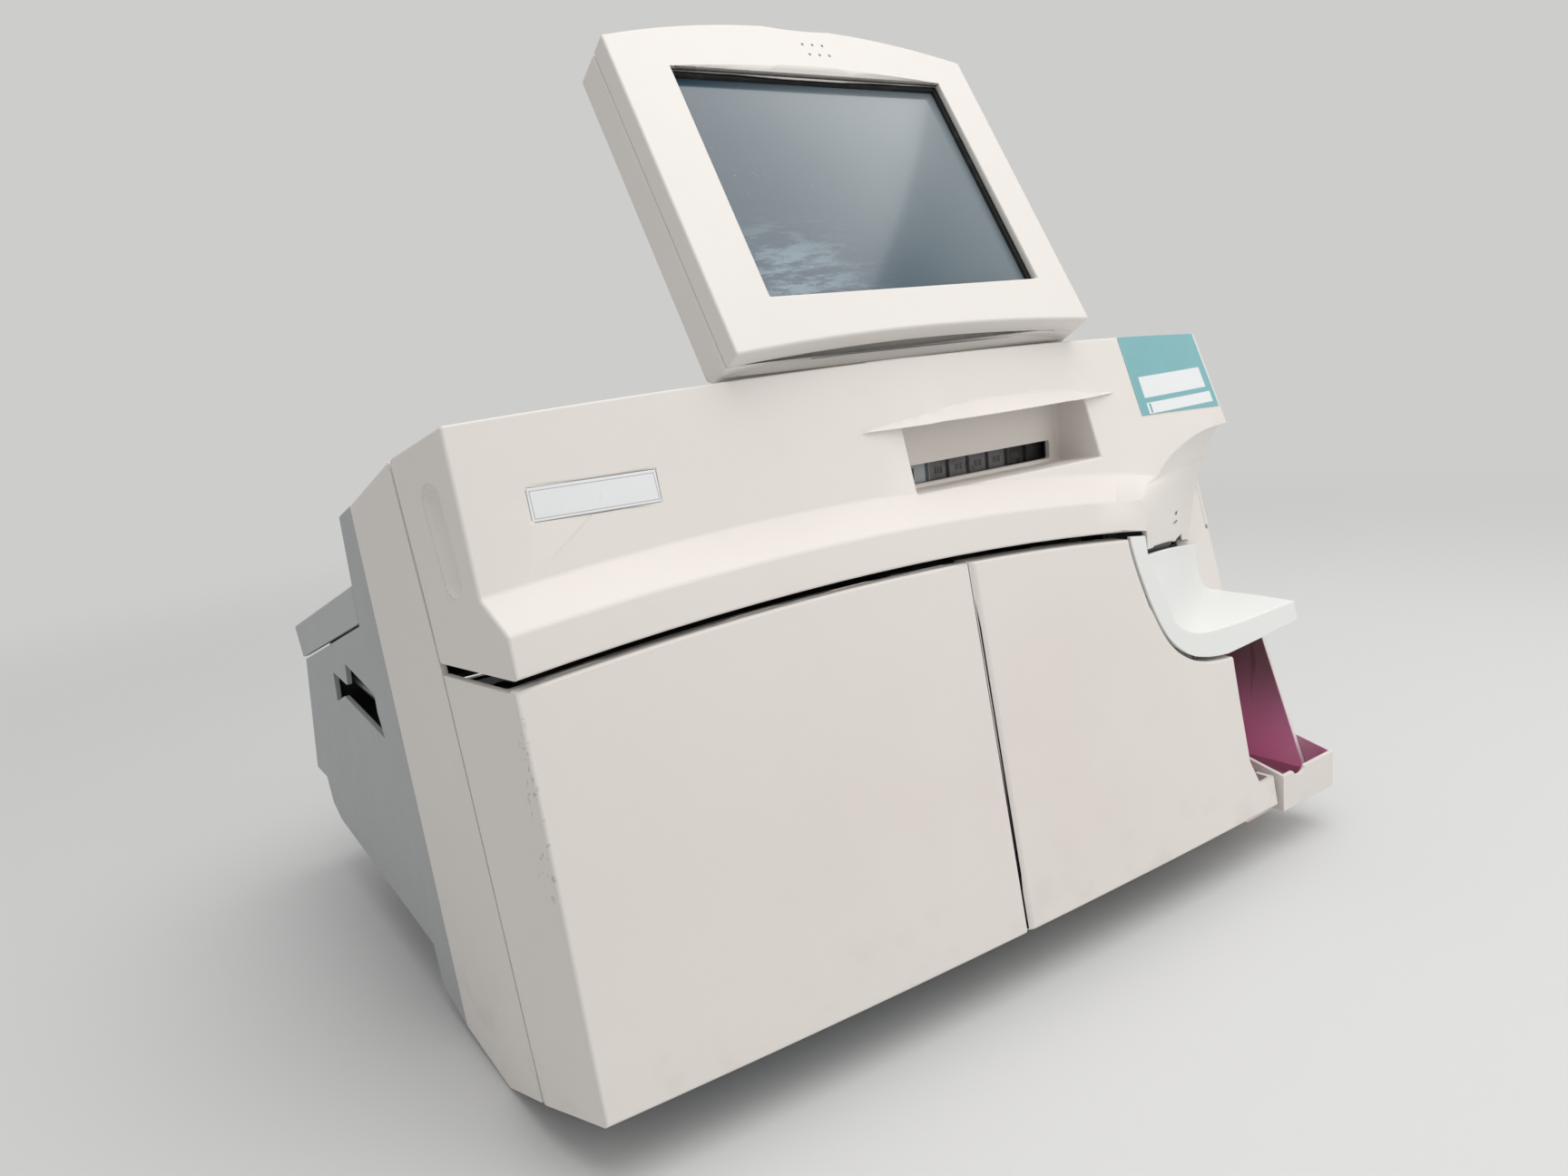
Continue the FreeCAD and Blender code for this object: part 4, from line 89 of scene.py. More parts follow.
def length_property(name, description, value):
    return FloatProperty(name=name, description=description, default=value, min=0, unit="LENGTH",
                         subtype="DISTANCE")


class AnalyzerShapes(bpy.types.PropertyGroup):
    """Sizes of the rounded edges and of the small fittings."""
    shell_round: length_property("Housing rounding", "Radius of the housings' outer edges", 1.6 * MM)
    trim_round: length_property("Trim rounding", "Radius of edges on thin trim and small parts", 0.8 * MM)
    fine_round: length_property("Fine rounding", "Radius of edges on pins, sockets and rotors", 0.3 * MM)
    round_steps: IntProperty(name="Rounding steps", description="Facets across a rounded edge", default=3,
                             min=1, max=6)
    sharp_from: FloatProperty(name="Sharp from", description="Edges that turn more than this are rounded",
                              default=math.radians(30), subtype="ANGLE", unit="ROTATION")
    icon_height: length_property("Icon height", "Height of the pictograms by the sample slot", 5.0 * MM)


class AnalyzerColours(bpy.types.PropertyGroup):
    """Colours of the finishes."""
    casing: colour_property("Casing", "Warm white moulded housing", paint(224, 219, 214))
    screen_casing: colour_property("Screen casing", "Housing of the touch screen", paint(224, 220, 216))
    rest: colour_property("Sample rest", "Cooler white of the arm rest", paint(228, 230, 228))
    body: colour_property("Rear body", "Grey rear housing", paint(168, 170, 172))
    lid: colour_property("Rear lid", "Slightly paler grey of the lid", paint(174, 176, 178))
    label: colour_property("Label", "Printed film on the hood", paint(122, 176, 182))
    field: colour_property("Field", "Bare white fields and plates", paint(228, 230, 232))
    ink: colour_property("Ink", "Dark printing of the pictograms", paint(74, 72, 74))
    # The next colour is a painted reflection: the pale grey of the room seen in the screen glass, painted
    # into its colour.
    glass_dark: colour_property("Glass, dark", "Screen glass without haze", paint(34, 62, 80))
    glass_reflection: colour_property("Glass, hazy", "Screen glass under its haze", paint(122, 134, 140))
    stain_deep: colour_property("Stain, deep", "Darkest dried stain in the bottle well", paint(122, 84, 92))
    stain_bright: colour_property("Stain, bright", "Brightest dye stain in the bottle well",
                                  paint(238, 150, 196))
    dark: colour_property("Dark plastic", "Liners, frames and sockets", paint(34, 34, 36))
    rubber: colour_property("Rubber", "Feet and gasket", paint(24, 24, 26))
    zinc: colour_property("Zinc plate", "Folded sheet inside", paint(176, 178, 180))
    board: colour_property("Board", "Solder mask of the main board", paint(28, 92, 58))
    reagent: colour_property("Reagent cartridge", "Moulded blue cartridge", paint(128, 158, 188))
    wash: colour_property("Wash cartridge", "Clear milky cartridge", paint(206, 210, 212))
    paper: colour_property("Paper", "Thermal paper roll", paint(238, 236, 232))
    backdrop: colour_property("Backdrop", "Wall behind the bench", paint(205, 205, 204))
    bench: colour_property("Bench", "Bench top", paint(212, 213, 213))


class AnalyzerStage(bpy.types.PropertyGroup):
    """Camera and light of the studio."""
    camera_place: FloatVectorProperty(name="Camera place", description="Where the camera stands",
                                      subtype="TRANSLATION", unit="LENGTH", size=3,
                                      default=(-0.4465, -0.6686, 0.3799))
    camera_right: FloatVectorProperty(name="Camera right",
                                      description="Direction of the picture's right side",
                                      subtype="DIRECTION", size=3, default=(0.8126, -0.5736, -0.0995))
    camera_up: FloatVectorProperty(name="Camera up", description="Direction of the picture's top",
                                   subtype="DIRECTION", size=3, default=(0.2018, 0.1167, 0.9725))
    lens: FloatProperty(name="Lens", description="Focal length on a 36 mm wide sensor", default=25.2,
                        min=10, max=200)
    sky: FloatProperty(name="Room light", description="Strength of the even light from all round",
                       default=0.56, min=0)
    overhead: FloatProperty(name="Overhead lamp", description="Power of the large lamp above", default=32.0,
                            min=0, subtype="POWER", unit="POWER")
    front: FloatProperty(name="Front lamp", description="Power of the lamp before the right side",
                         default=12.0, min=0, subtype="POWER", unit="POWER")


def shapes():
    return bpy.context.scene.analyzer_shapes


def colours():
    return bpy.context.scene.analyzer_colours


# Shader maths


class Value:
    """A number, colour or vector that leaves a node's socket; the operators add Math nodes."""

    def __init__(self, nodes, socket):
        self.nodes = nodes
        self.socket = socket

    def maths(self, operation, first, second=0.0):
        return self.nodes.node("Math", {"operation": operation}, {0: first, 1: second})

    def __add__(self, other):
        return self.maths("ADD", self, other)

    def __radd__(self, other):
        return self.maths("ADD", other, self)

    def __sub__(self, other):
        return self.maths("SUBTRACT", self, other)

    def __rsub__(self, other):
        return self.maths("SUBTRACT", other, self)

    def __mul__(self, other):
        return self.maths("MULTIPLY", self, other)

    def __rmul__(self, other):
        return self.maths("MULTIPLY", other, self)

    def __truediv__(self, other):
        return self.maths("DIVIDE", self, other)

    def __pow__(self, other):
        return self.maths("POWER", self, other)

    def size(self):
        return self.maths("ABSOLUTE", self)

    def least(self, other):
        return self.maths("MINIMUM", self, other)

    def most(self, other):
        return self.maths("MAXIMUM", self, other)

    def fraction(self):
        return self.maths("FRACT", self)

    def step(self, low, high):
        """0 below low, 1 above high, smooth between; high may be the smaller number."""
        return self.nodes.node("MapRange", {"interpolation_type": "SMOOTHSTEP"}, {
            "Value": self, "From Min": low, "From Max": high, "To Min": 0.0, "To Max": 1.0})

    def between(self, low, high, soft):
        return self.step(low - soft, low + soft) * self.step(high + soft, high - soft)


class Nodes:
    """A node tree while it is being filled."""

    def __init__(self, tree):
        self.tree = tree

    def feed(self, socket, value):
        if isinstance(value, Value):
            self.tree.links.new(value.socket, socket)
        elif socket.type == "RGBA":
            socket.default_value = (*value[:3], 1.0)
        else:
            socket.default_value = value

    def node(self, kind, settings, inputs, output=0):
        made = self.tree.nodes.new("ShaderNode" + kind)
        for name, value in settings.items():
            setattr(made, name, value)
        for key, value in inputs.items():
            self.feed(made.inputs[key], value)
        return Value(self, made.outputs[output])

    def rays(self, *kinds):
        """1 for the kinds of ray that are named, 0 for the rest."""
        share = self.node("LightPath", {}, {}, f"Is {kinds[0]} Ray")
        for kind in kinds[1:]:
            share = share.most(self.node("LightPath", {}, {}, f"Is {kind} Ray"))
        return share


class Finish(Nodes):
    """A material while it is being made: one principled shader, and what varies it over the surface."""

    def __init__(self, name, colour, rough, **fixed):
        self.material = bpy.data.materials.new(name)
        self.material.use_nodes = True
        super().__init__(self.material.node_tree)
        self.shader = self.tree.nodes["Principled BSDF"]
        self.colour = colour
        self.feed(self.shader.inputs["Base Color"], colour)
        self.feed(self.shader.inputs["Roughness"], rough)
        for socket, value in fixed.items():
            self.feed(self.shader.inputs[socket.replace("_", " ")], value)
        self.spot = self.node("TexCoord", {}, {}, "Object")

    def axes(self, spot=None):
        spot = spot or self.spot
        return [self.node("SeparateXYZ", {}, {0: spot}, axis) for axis in "XYZ"]

    def turned(self, place, tilt):
        """The spot in a frame that stands at place and leans by tilt about X."""
        return self.node("Mapping", {"vector_type": "TEXTURE"},
                         {"Vector": self.spot, "Location": place, "Rotation": (tilt, 0, 0)})

    def stretched(self, scale):
        return self.node("Mapping", {}, {"Vector": self.spot, "Scale": scale})

    def noise(self, scale, detail, rough=0.5, spot=None):
        return self.node("TexNoise", {}, {"Vector": spot or self.spot, "Scale": scale, "Detail": detail,
                                          "Roughness": rough})

    def cells(self, scale, spot=None):
        return self.node("TexVoronoi", {}, {"Vector": spot or self.spot, "Scale": scale})

    def mix(self, share, low, high):
        return self.node("Mix", {"data_type": "RGBA"}, {0: share, 6: low, 7: high}, 2)

    def tint(self, share, colour):
        self.colour = self.mix(share, self.colour, colour)
        self.feed(self.shader.inputs["Base Color"], self.colour)
        return self

    def rough(self, value):
        self.feed(self.shader.inputs["Roughness"], value)
        return self

    def bump(self, height, strength, depth):
        normal = self.node("Bump", {}, {"Height": height, "Strength": strength, "Distance": depth})
        self.feed(self.shader.inputs["Normal"], normal)
        return self


def shade(colour, share):
    return tuple(min(1.0, c * share) for c in colour)


MADE = {}


def finish_of(name, build):
    """Each finish is made once and shared."""
    if name not in MADE:
        MADE[name] = build(name).material
    return MADE[name]


def moulded(name, colour, grain=1.0, rough=0.46, dust=1.0):
    """Moulded housing plastic: fine leather grain, faint yellowing, dust and small dull rubs."""
    f = Finish(name, colour, rough)
    broad = f.noise(5.0, 3.0)
    f.tint(broad.step(0.35, 0.75) * 0.5 * dust, shade(colour, 0.95))
    f.tint(f.noise(26.0, 4.0).step(0.58, 0.8) * 0.35 * dust, shade(colour, 0.93))
    pits = f.cells(1500.0)
    fleck = f.noise(900.0, 2.0)
    f.tint(fleck.step(0.66, 0.74) * 0.18 * dust, shade(colour, 0.86))
    f.rough(f.noise(60.0, 3.0) * 0.16 + (rough - 0.08))
    return f.bump(pits * 0.6 + fleck, 0.22 * grain, 0.12 * MM)


def casing_finish(name):
    """The white housing, with a faint dye blush on the doors and scuffs low down."""
    c = colours()
    f = moulded(name, c.casing)
    x, y, z = f.axes()
    left = ((x + 0.075) ** 2.0 + (z - 0.12) ** 2.0) ** 0.5
    right = ((x - 0.03) ** 2.0 + (z - 0.135) ** 2.0) ** 0.5
    blush = left.least(right).step(0.11, 0.02) * f.noise(14.0, 3.0).step(0.3, 0.7)
    f.tint(blush * 0.14 * y.step(-0.15, -0.2), paint(226, 186, 190))
    low = z.step(0.1, 0.0) * f.noise(38.0, 5.0).step(0.5, 0.72)
    return f.tint(low * 0.16, paint(150, 142, 132))


def chipped_finish(name):
    """The left door's housing, with paint chips along its front corner."""
    f = casing_finish(name)
    x, y, z = f.axes()
    corner = (x + 0.2852).size().step(0.0026, 0.0004) * y.step(-0.2, -0.206)
    chips = f.noise(300.0, 2.0, 0.5).step(0.61, 0.64) * z.between(0.140, 0.245, 0.012)
    return f.tint(corner * chips * 0.45, paint(150, 142, 134))


def rest_finish(name):
    """Smooth cool white of the arm rest, a little glossier where arms rub it."""
    f = Finish(name, colours().rest, 0.36)
    f.tint(f.noise(9.0, 3.0).step(0.4, 0.8) * 0.5, shade(colours().rest, 0.965))
    rubs = f.noise(70.0, 4.0, 0.6, f.stretched((1.0, 4.0, 1.0)))
    f.rough(rubs * 0.2 + 0.26)
    return f.bump(f.noise(700.0, 2.0), 0.08, 0.08 * MM)


def grey_finish(name):
    """Grey rear housing with soft handling marks."""
    f = moulded(name, colours().body, 1.1, 0.5)
    marks = f.noise(30.0, 6.0, 0.7, f.stretched((1.0, 1.0, 3.0)))
    return f.tint(marks.step(0.62, 0.74) * 0.16, shade(colours().body, 1.22))


def lid_finish(name):
    f = moulded(name, colours().lid, 1.1, 0.5)
    marks = f.noise(34.0, 6.0, 0.7, f.stretched((1.0, 4.0, 1.0)))
    return f.tint(marks.step(0.63, 0.75) * 0.14, shade(colours().lid, 1.2))


def screen_casing_finish(name):
    return moulded(name, colours().screen_casing, 1.15, 0.48, 0.8)


def well_finish(name):
    """White well whose inside is stained from dark wine at the top to pink at its foot."""
    c = colours()
    f = moulded(name, c.casing, 0.6, 0.4)
    x, y, z = f.axes()
    low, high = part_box("bottle_well")
    between_sides = x.between(low.x + 0.9 * MM, high.x - 3.6 * MM, 0.3 * MM)
    off_back = y.step(high.y - 1.0 * MM, high.y - 2.0 * MM)
    inside = between_sides * off_back * z.step(low.z + 0.6 * MM, low.z + 1.6 * MM)
    up = z.step(0.050, 0.125)
    dye = f.mix(up, c.stain_bright, c.stain_deep)
    runs = f.noise(16.0, 5.0, 0.6, f.stretched((1.0, 1.0, 0.35)))
    f.tint(inside * (0.72 + runs * 0.36).least(1.0), dye)
    drips = f.noise(60.0, 4.0, 0.6, f.stretched((2.0, 2.0, 0.12))).step(0.6, 0.72)
    f.tint(inside * drips * up * 0.5, paint(46, 30, 34))
    pale = f.noise(12.0, 3.0).step(0.55, 0.75) * z.step(0.09, 0.045)
    f.tint(inside * pale * 0.4, paint(236, 200, 220))
    return f


def tray_finish(name):
    """White tray with the same dye dried inside it."""
    c = colours()
    f = moulded(name, c.casing, 0.6, 0.4)
    x, y, z = f.axes()
    low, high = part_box("bottle_tray")
    wall = 2.1 * MM
    across = x.between(low.x + wall, high.x - wall, 0.3 * MM)
    along = y.between(low.y + wall, high.y - wall, 0.3 * MM)
    under_rim = z.step(high.z - 0.4 * MM, high.z - 1.2 * MM)
    over_floor = z.step(low.z + 0.4 * MM, low.z + 1.0 * MM)
    inside = across * along * under_rim * over_floor
    fresh = f.noise(22.0, 4.0, 0.6)
    dye = f.mix(fresh, paint(232, 176, 206), paint(196, 112, 150))
    f.tint(inside * (0.6 + fresh * 0.5).least(1.0), dye)
    rim = y.step(-0.2595, -0.2615) * f.noise(30.0, 4.0).step(0.5, 0.8)
    return f.tint(rim * 0.2, paint(196, 186, 176))


def label_finish(name):
    """Teal printed film with two bare white fields and a paler printed edge."""
    c = colours()
    low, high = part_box("info_label")
    f = Finish(name, c.label, 0.34)
    x, _, z = f.axes()
    u = (x - low.x) / (high.x - low.x)
    v = (high.z - z) / (high.z - low.z)
    f.tint(f.noise(30.0, 3.0).step(0.4, 0.8) * 0.35, shade(c.label, 0.9))
    big = u.between(0.09, 0.91, 0.004) * v.between(0.49, 0.74, 0.006)
    small = u.between(0.09, 0.94, 0.004) * v.between(0.80, 0.93, 0.006)
    line = u.between(0.115, 0.135, 0.002) * v.between(0.81, 0.92, 0.004)
    f.tint(big.most(small), c.field)
    f.tint(line, shade(c.label, 0.8))
    f.tint(u.step(0.015, 0.005).most(u.step(0.985, 0.995)) * 0.5, shade(c.label, 1.3))
    f.rough(f.noise(80.0, 3.0) * 0.2 + 0.24)
    return f.bump(f.noise(50.0, 2.0), 0.1, 0.1 * MM)


def plate_finish(name):
    """Bare pale plate with a thin grey line of painted shadow inside its edge, where the rim of its recess
    shades it.
    """
    c = colours()
    low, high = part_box("name_plate")
    f = Finish(name, shade(c.field, 0.96), 0.3)
    x, _, z = f.axes()
    shadow_inset = 1.4 * MM
    line = 0.45 * MM
    sides = (x - low.x).least(high.x - x)
    ends = (z - low.z).least(high.z - z)
    edge = sides.least(ends)
    # Painted shadow: the thin grey line just inside the plate's edge stands for the shade cast by the recess
    # rim.
    f.tint(edge.between(shadow_inset, shadow_inset + line, 0.1 * MM) * 0.55, paint(120, 118, 118))
    f.tint(f.noise(40.0, 4.0).step(0.5, 0.8) * 0.3, shade(c.field, 0.9))
    f.rough(f.noise(120.0, 3.0) * 0.18 + 0.22)
    return f.bump(f.noise(400.0, 2.0), 0.05, 0.06 * MM)


SCREEN_PLACE = (0.0, -0.136, 0.4755)
SCREEN_LEAN = math.radians(-30)


def glass_finish(name):
    """Touch screen glass: dark blue, with a painted reflection of the room in pale grey towards the right,
    and dried wipe marks at the lower left.
    """
    c = colours()
    f = Finish(name, c.glass_dark, 0.12, Coat_Weight=0.5, Coat_Roughness=0.06)
    spot = f.turned(SCREEN_PLACE, SCREEN_LEAN)
    x, _, z = f.axes(spot)
    # Painted reflection: the glass turns grey towards its right side, where it reflects the room, and paler
    # still at the far right.
    drift = f.noise(7.0, 3.0, 0.5, spot) * 0.05
    painted_reflection = (x + z * 0.55 + drift).step(-0.085, 0.12)
    f.tint(painted_reflection * 0.72, c.glass_reflection)
    f.tint((x + z * 0.4).step(0.04, 0.16) * 0.22, paint(150, 156, 158))
    low_left = ((x + 0.072) ** 2.0 + (z + 0.062) ** 2.0 * 2.2) ** 0.5
    wiped = f.noise(64.0, 6.0, 0.72, f.node("Mapping", {}, {"Vector": spot, "Rotation": (0, 0.9, 0),
                                                          "Scale": (0.45, 1.0, 1.9)}))
    smear = low_left.step(0.075, 0.0) * wiped.step(0.44, 0.62)
    f.tint(smear * 0.62, paint(150, 172, 184))
    bubbles = f.cells(210.0, spot).step(0.16, 0.06)
    left_half = (x + z * 0.35).step(0.02, -0.055) * z.step(-0.07, 0.02)
    f.tint(bubbles * left_half * f.noise(30.0, 2.0, 0.5, spot).step(0.5, 0.66) * 0.5, paint(110, 146, 164))
    f.rough(0.1 + smear * 0.3 + f.noise(24.0, 4.0, 0.6, spot) * 0.08)
    return f


def pane_finish(name):
    """Clear window with a trace of dust."""
    f = Finish(name, (0.92, 0.94, 0.94), 0.06, Transmission_Weight=1.0, IOR=1.2)
    f.rough(f.noise(60.0, 4.0).step(0.55, 0.8) * 0.1 + 0.04)
    return f


def plain_plastic(name, colour, rough):
    """Plain dark or clear moulding with a fine spark-eroded surface."""
    f = Finish(name, colour, rough)
    f.tint(f.noise(40.0, 4.0).step(0.5, 0.8) * 0.4, shade(colour, 1.35))
    f.rough(f.noise(90.0, 3.0) * 0.2 + (rough - 0.1))
    return f.bump(f.noise(1100.0, 2.0), 0.15, 0.08 * MM)


def dark_finish(name):
    return plain_plastic(name, colours().dark, 0.42)


def grip_finish(name):
    return plain_plastic(name, shade(colours().dark, 1.1), 0.55)


def rubber_finish(name):
    """Dull rubber with dust in its pores."""
    f = Finish(name, colours().rubber, 0.8)
    f.tint(f.noise(120.0, 5.0).step(0.5, 0.7) * 0.3, paint(70, 68, 66))
    f.rough(f.noise(60.0, 3.0) * 0.2 + 0.66)
    return f.bump(f.noise(800.0, 3.0), 0.3, 0.15 * MM)


def metal(name, colour, rough, along, grain=0.25):
    f = Finish(name, colour, rough, Metallic=1.0)
    lines = f.noise(260.0, 4.0, 0.6, f.stretched(along))
    f.tint(lines.step(0.4, 0.75) * 0.4, shade(colour, 0.8))
    f.rough(lines * 0.25 + (rough - 0.1))
    return f.bump(lines, grain, 0.03 * MM)


def zinc_finish(name):
    """Zinc plated sheet: patchy crystals and a few rubs."""
    f = metal(name, colours().zinc, 0.38, (0.2, 1.0, 1.0))
    flakes = f.cells(55.0)
    f.tint(flakes.step(0.2, 0.7) * 0.22, shade(colours().zinc, 0.7))
    return f


def bright_finish(name):
    return metal(name, paint(214, 215, 217), 0.2, (1.0, 1.0, 0.2), 0.1)


def block_finish(name):
    return metal(name, paint(186, 188, 190), 0.34, (0.1, 1.0, 1.0), 0.2)


def coated_finish(name, colour=(0.11, 0.115, 0.12)):
    """Powder coat with its orange peel."""
    f = Finish(name, colour, 0.5)
    peel = f.noise(520.0, 2.0)
    f.tint(f.noise(30.0, 4.0).step(0.5, 0.8) * 0.3, shade(colour, 1.25))
    f.rough(peel * 0.15 + 0.42)
    return f.bump(peel, 0.3, 0.15 * MM)


def motor_finish(name):
    return coated_finish(name, (0.03, 0.03, 0.032))


def board_finish(name):
    """Solder mask over copper tracks, with vias and a white printed frame round it."""
    c = colours()
    low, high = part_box("main_board")
    f = Finish(name, c.board, 0.32)
    x, y, _ = f.axes()
    rows = ((x * 400.0).fraction() - 0.5).size().step(0.34, 0.3)
    columns = ((y * 400.0).fraction() - 0.5).size().step(0.34, 0.3)
    zone = f.noise(26.0, 1.0)
    tracks = rows * zone.step(0.54, 0.56) + columns * zone.step(0.46, 0.44)
    f.tint(tracks.least(1.0) * 0.6, shade(c.board, 1.7))
    vias = f.cells(170.0).step(0.16, 0.1)
    f.tint(vias * 0.8, paint(190, 172, 110))
    sides = (x - low.x).least(high.x - x).least((y - low.y).least(high.y - y))
    f.tint(sides.between(2.5 * MM, 3.0 * MM, 0.1 * MM) * 0.8, paint(220, 224, 220))
    return f.bump(tracks, 0.2, 0.05 * MM)


def reagent_finish(name):
    """Blue cartridge moulding with flow marks."""
    f = plain_plastic(name, colours().reagent, 0.34)
    flow = f.noise(9.0, 4.0, 0.5, f.stretched((1.0, 1.0, 3.0)))
    return f.tint(flow.step(0.45, 0.7) * 0.25, shade(colours().reagent, 1.2))


def wash_finish(name):
    """Milky cartridge through which its contents show lower down."""
    f = plain_plastic(name, colours().wash, 0.28)
    z = f.axes()[2]
    level = (z + f.noise(6.0, 1.0) * 0.002).step(0.152, 0.148)
    return f.tint(level * 0.45, paint(160, 186, 204))


def paper_finish(name):
    """The roll's ends show its wound edges."""
    f = Finish(name, colours().paper, 0.7)
    low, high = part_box("paper_roll")
    centre = (low + high) / 2
    _, y, z = f.axes()
    radius = ((y - centre.y) ** 2.0 + (z - centre.z) ** 2.0) ** 0.5
    rings = ((radius * 900.0).fraction() - 0.5).size()
    f.tint(rings.step(0.3, 0.5) * 0.3, shade(colours().paper, 0.78))
    return f.bump(rings, 0.15, 0.1 * MM)


def sensor_finish(name):
    """Cassette bodies, pale at the left end and black at the right, with their printed bars."""
    f = Finish(name, paint(122, 116, 118), 0.3)
    x = f.axes()[0]
    low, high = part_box("sensor_cassettes")
    u = (x - low.x) / (high.x - low.x)
    f.tint(u.step(0.155, 0.145), paint(206, 210, 214))
    f.tint(u.step(0.70, 0.76), paint(22, 20, 21))
    fine = ((x * 420.0).fraction() - 0.5).size()
    band = u.between(0.16, 0.42, 0.01)
    f.tint(fine.step(0.36, 0.46) * band * 0.5, paint(140, 128, 122))
    f.tint(f.noise(90.0, 4.0).step(0.5, 0.75) * u.between(0.16, 0.74, 0.02) * 0.5, paint(84, 78, 80))
    f.rough(f.noise(80.0, 3.0) * 0.2 + 0.2)
    return f


def ink_finish(name):
    f = Finish(name, colours().ink, 0.5)
    return f.tint(f.noise(400.0, 3.0).step(0.5, 0.7) * 0.3, shade(colours().ink, 1.8))


def pale_mark_finish(name):
    f = Finish(name, paint(64, 60, 62), 0.4)
    return f.tint(f.noise(200.0, 3.0).step(0.5, 0.7) * 0.3, paint(96, 92, 94))


def chip_finish(name):
    return plain_plastic(name, paint(38, 38, 41), 0.4)


def connector_finish(name):
    return plain_plastic(name, paint(214, 208, 190), 0.45)


def film_finish(name):
    """White printed sticker stock, bare."""
    f = Finish(name, paint(226, 226, 222), 0.5)
    f.tint(f.noise(60.0, 4.0).step(0.5, 0.8) * 0.3, paint(204, 202, 194))
    return f.bump(f.noise(300.0, 2.0), 0.06, 0.05 * MM)


# Shapes

SMOOTH_BELOW = math.radians(33)
FLAT_BELOW = math.radians(0.4)
MERGE_GAP = 0.01 * MM
ROOM_SHARE = 0.48
SMALL_STEPS = 2
THIN_ROUND = 0.4 * MM
ROD_ROUND = 0.2 * MM
CAN_SIDES = 24
RAY_START = 0.03
RAY_REACH = 0.08
PRINT_LIFT = 0.2 * MM


def new_mesh(name, bm, material):
    """Turns a bmesh into an object whose place is in its mesh, shaded smooth but for its sharp edges."""
    mesh = bpy.data.meshes.new(name)
    bm.to_mesh(mesh)
    bm.free()
    mesh.materials.append(material)
    mesh.shade_smooth()
    mesh.set_sharp_from_angle(angle=SMOOTH_BELOW)
    thing = bpy.data.objects.new(name, mesh)
    bpy.context.scene.collection.objects.link(thing)
    even = thing.modifiers.new("even_shading", "WEIGHTED_NORMAL")
    even.keep_sharp = True
    return thing


def roomy_edges(bm, radius, angle):
    """The sharp edges that have room for a rounding of that radius at both ends."""
    keep = {e for e in bm.edges if len(e.link_faces) == 2 and e.calc_face_angle(0) > angle}
    while True:
        tight = set()
        for edge in keep:
            for loop in edge.link_loops:
                ends = ((loop, loop.link_loop_prev.edge), (loop.link_loop_next, loop.link_loop_next.edge))
                for corner, other in ends:
                    turn = corner.calc_angle()
                    if not corner.is_convex:
                        continue
                    if other in keep:
                        need = radius / math.tan(turn / 2)
                    else:
                        need = radius / math.sin(turn) if turn < math.pi / 2 else radius
                    if need > ROOM_SHARE * other.calc_length():
                        tight.add(edge)
        if not tight:
            return list(keep)
        keep -= tight


def bevel(bm, edges, radius, steps, clamp):
    bmesh.ops.bevel(bm, geom=edges, offset=radius, offset_type="OFFSET", segments=steps, profile=0.5,
                    affect="EDGES", clamp_overlap=clamp, material=-1)


def round_edges(bm, radius, steps):
    bevel(bm, roomy_edges(bm, radius, shapes().sharp_from), radius, steps, False)


def merged_copy(node):
    """A copy of a node's loose triangles, merged into clean faces."""
    bm = bmesh.new()
    bm.from_mesh(frame["nodes"][node].data)
    bmesh.ops.remove_doubles(bm, verts=bm.verts, dist=MERGE_GAP)
    bmesh.ops.dissolve_limit(bm, angle_limit=FLAT_BELOW, verts=bm.verts, edges=bm.edges)
    return bm


def body_of(node):
    return frame["nodes"][node]["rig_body"]


def rounded(node, material, radius, steps=None):
    """A rounded copy that stands for a node and moves with its body."""
    bm = merged_copy(node)
    round_edges(bm, radius, steps or shapes().round_steps)
    thing = new_mesh(node + "_shape", bm, material)
    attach(thing, body_of(node))
    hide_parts(node)
    return thing


def coat(node, material):
    """A node that keeps its shape and gets its finish."""
    thing = frame["nodes"][node]
    if not thing.material_slots:
        thing.data.materials.append(material)
    for slot in thing.material_slots:
        slot.material = material


def fitted(name, bm, material, body):
    """A new piece that moves with a body."""
    thing = new_mesh(name, bm, material)
    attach(thing, body)
    return thing


def block(bm, low, high, radius=0.0):
    """A box between two corners, with rounded edges where a radius is given."""
    size = Vector(high) - Vector(low)
    middle = (Vector(high) + Vector(low)) / 2
    made = bmesh.ops.create_cube(bm, size=1.0)
    verts = made["verts"]
    bmesh.ops.scale(bm, verts=verts, vec=size)
    bmesh.ops.translate(bm, verts=verts, vec=middle)
    if radius:
        bevel(bm, list({e for v in verts for e in v.link_edges}), radius, SMALL_STEPS, True)


def can(radius, tall, edge):
    """The mesh of an upright can with its top edge rounded, to be added to a bmesh as often as needed.

    It has a bmesh of its own, because after a bevel the faces that a bmesh gets next are ordered by chance.
    """
    bm = bmesh.new()
    made = bmesh.ops.create_cone(bm, cap_ends=True, segments=CAN_SIDES, radius1=radius, radius2=radius,
                                 depth=tall)
    verts = made["verts"]
    bmesh.ops.translate(bm, verts=verts, vec=(0, 0, tall / 2))
    edges = {e for v in verts for e in v.link_edges}
    rim = [e for e in edges if all(v.co.z > tall / 2 for v in e.verts)]
    bevel(bm, rim, edge, SMALL_STEPS, True)
    mesh = bpy.data.meshes.new("can")
    bm.to_mesh(mesh)
    bm.free()
    return mesh


def print_on(bm, node, inward):
    """Lays a flat print on a node's surface, along inward."""
    surface = merged_copy(node)
    bmesh.ops.triangulate(surface, faces=surface.faces)
    tree = BVHTree.FromBMesh(surface)
    surface.free()
    for vert in bm.verts:
        hit = tree.ray_cast(vert.co - inward * RAY_START, inward, RAY_REACH)[0]
        if hit is None:
            raise RuntimeError(f"the print misses {node}")
        vert.co = hit - inward * PRINT_LIFT


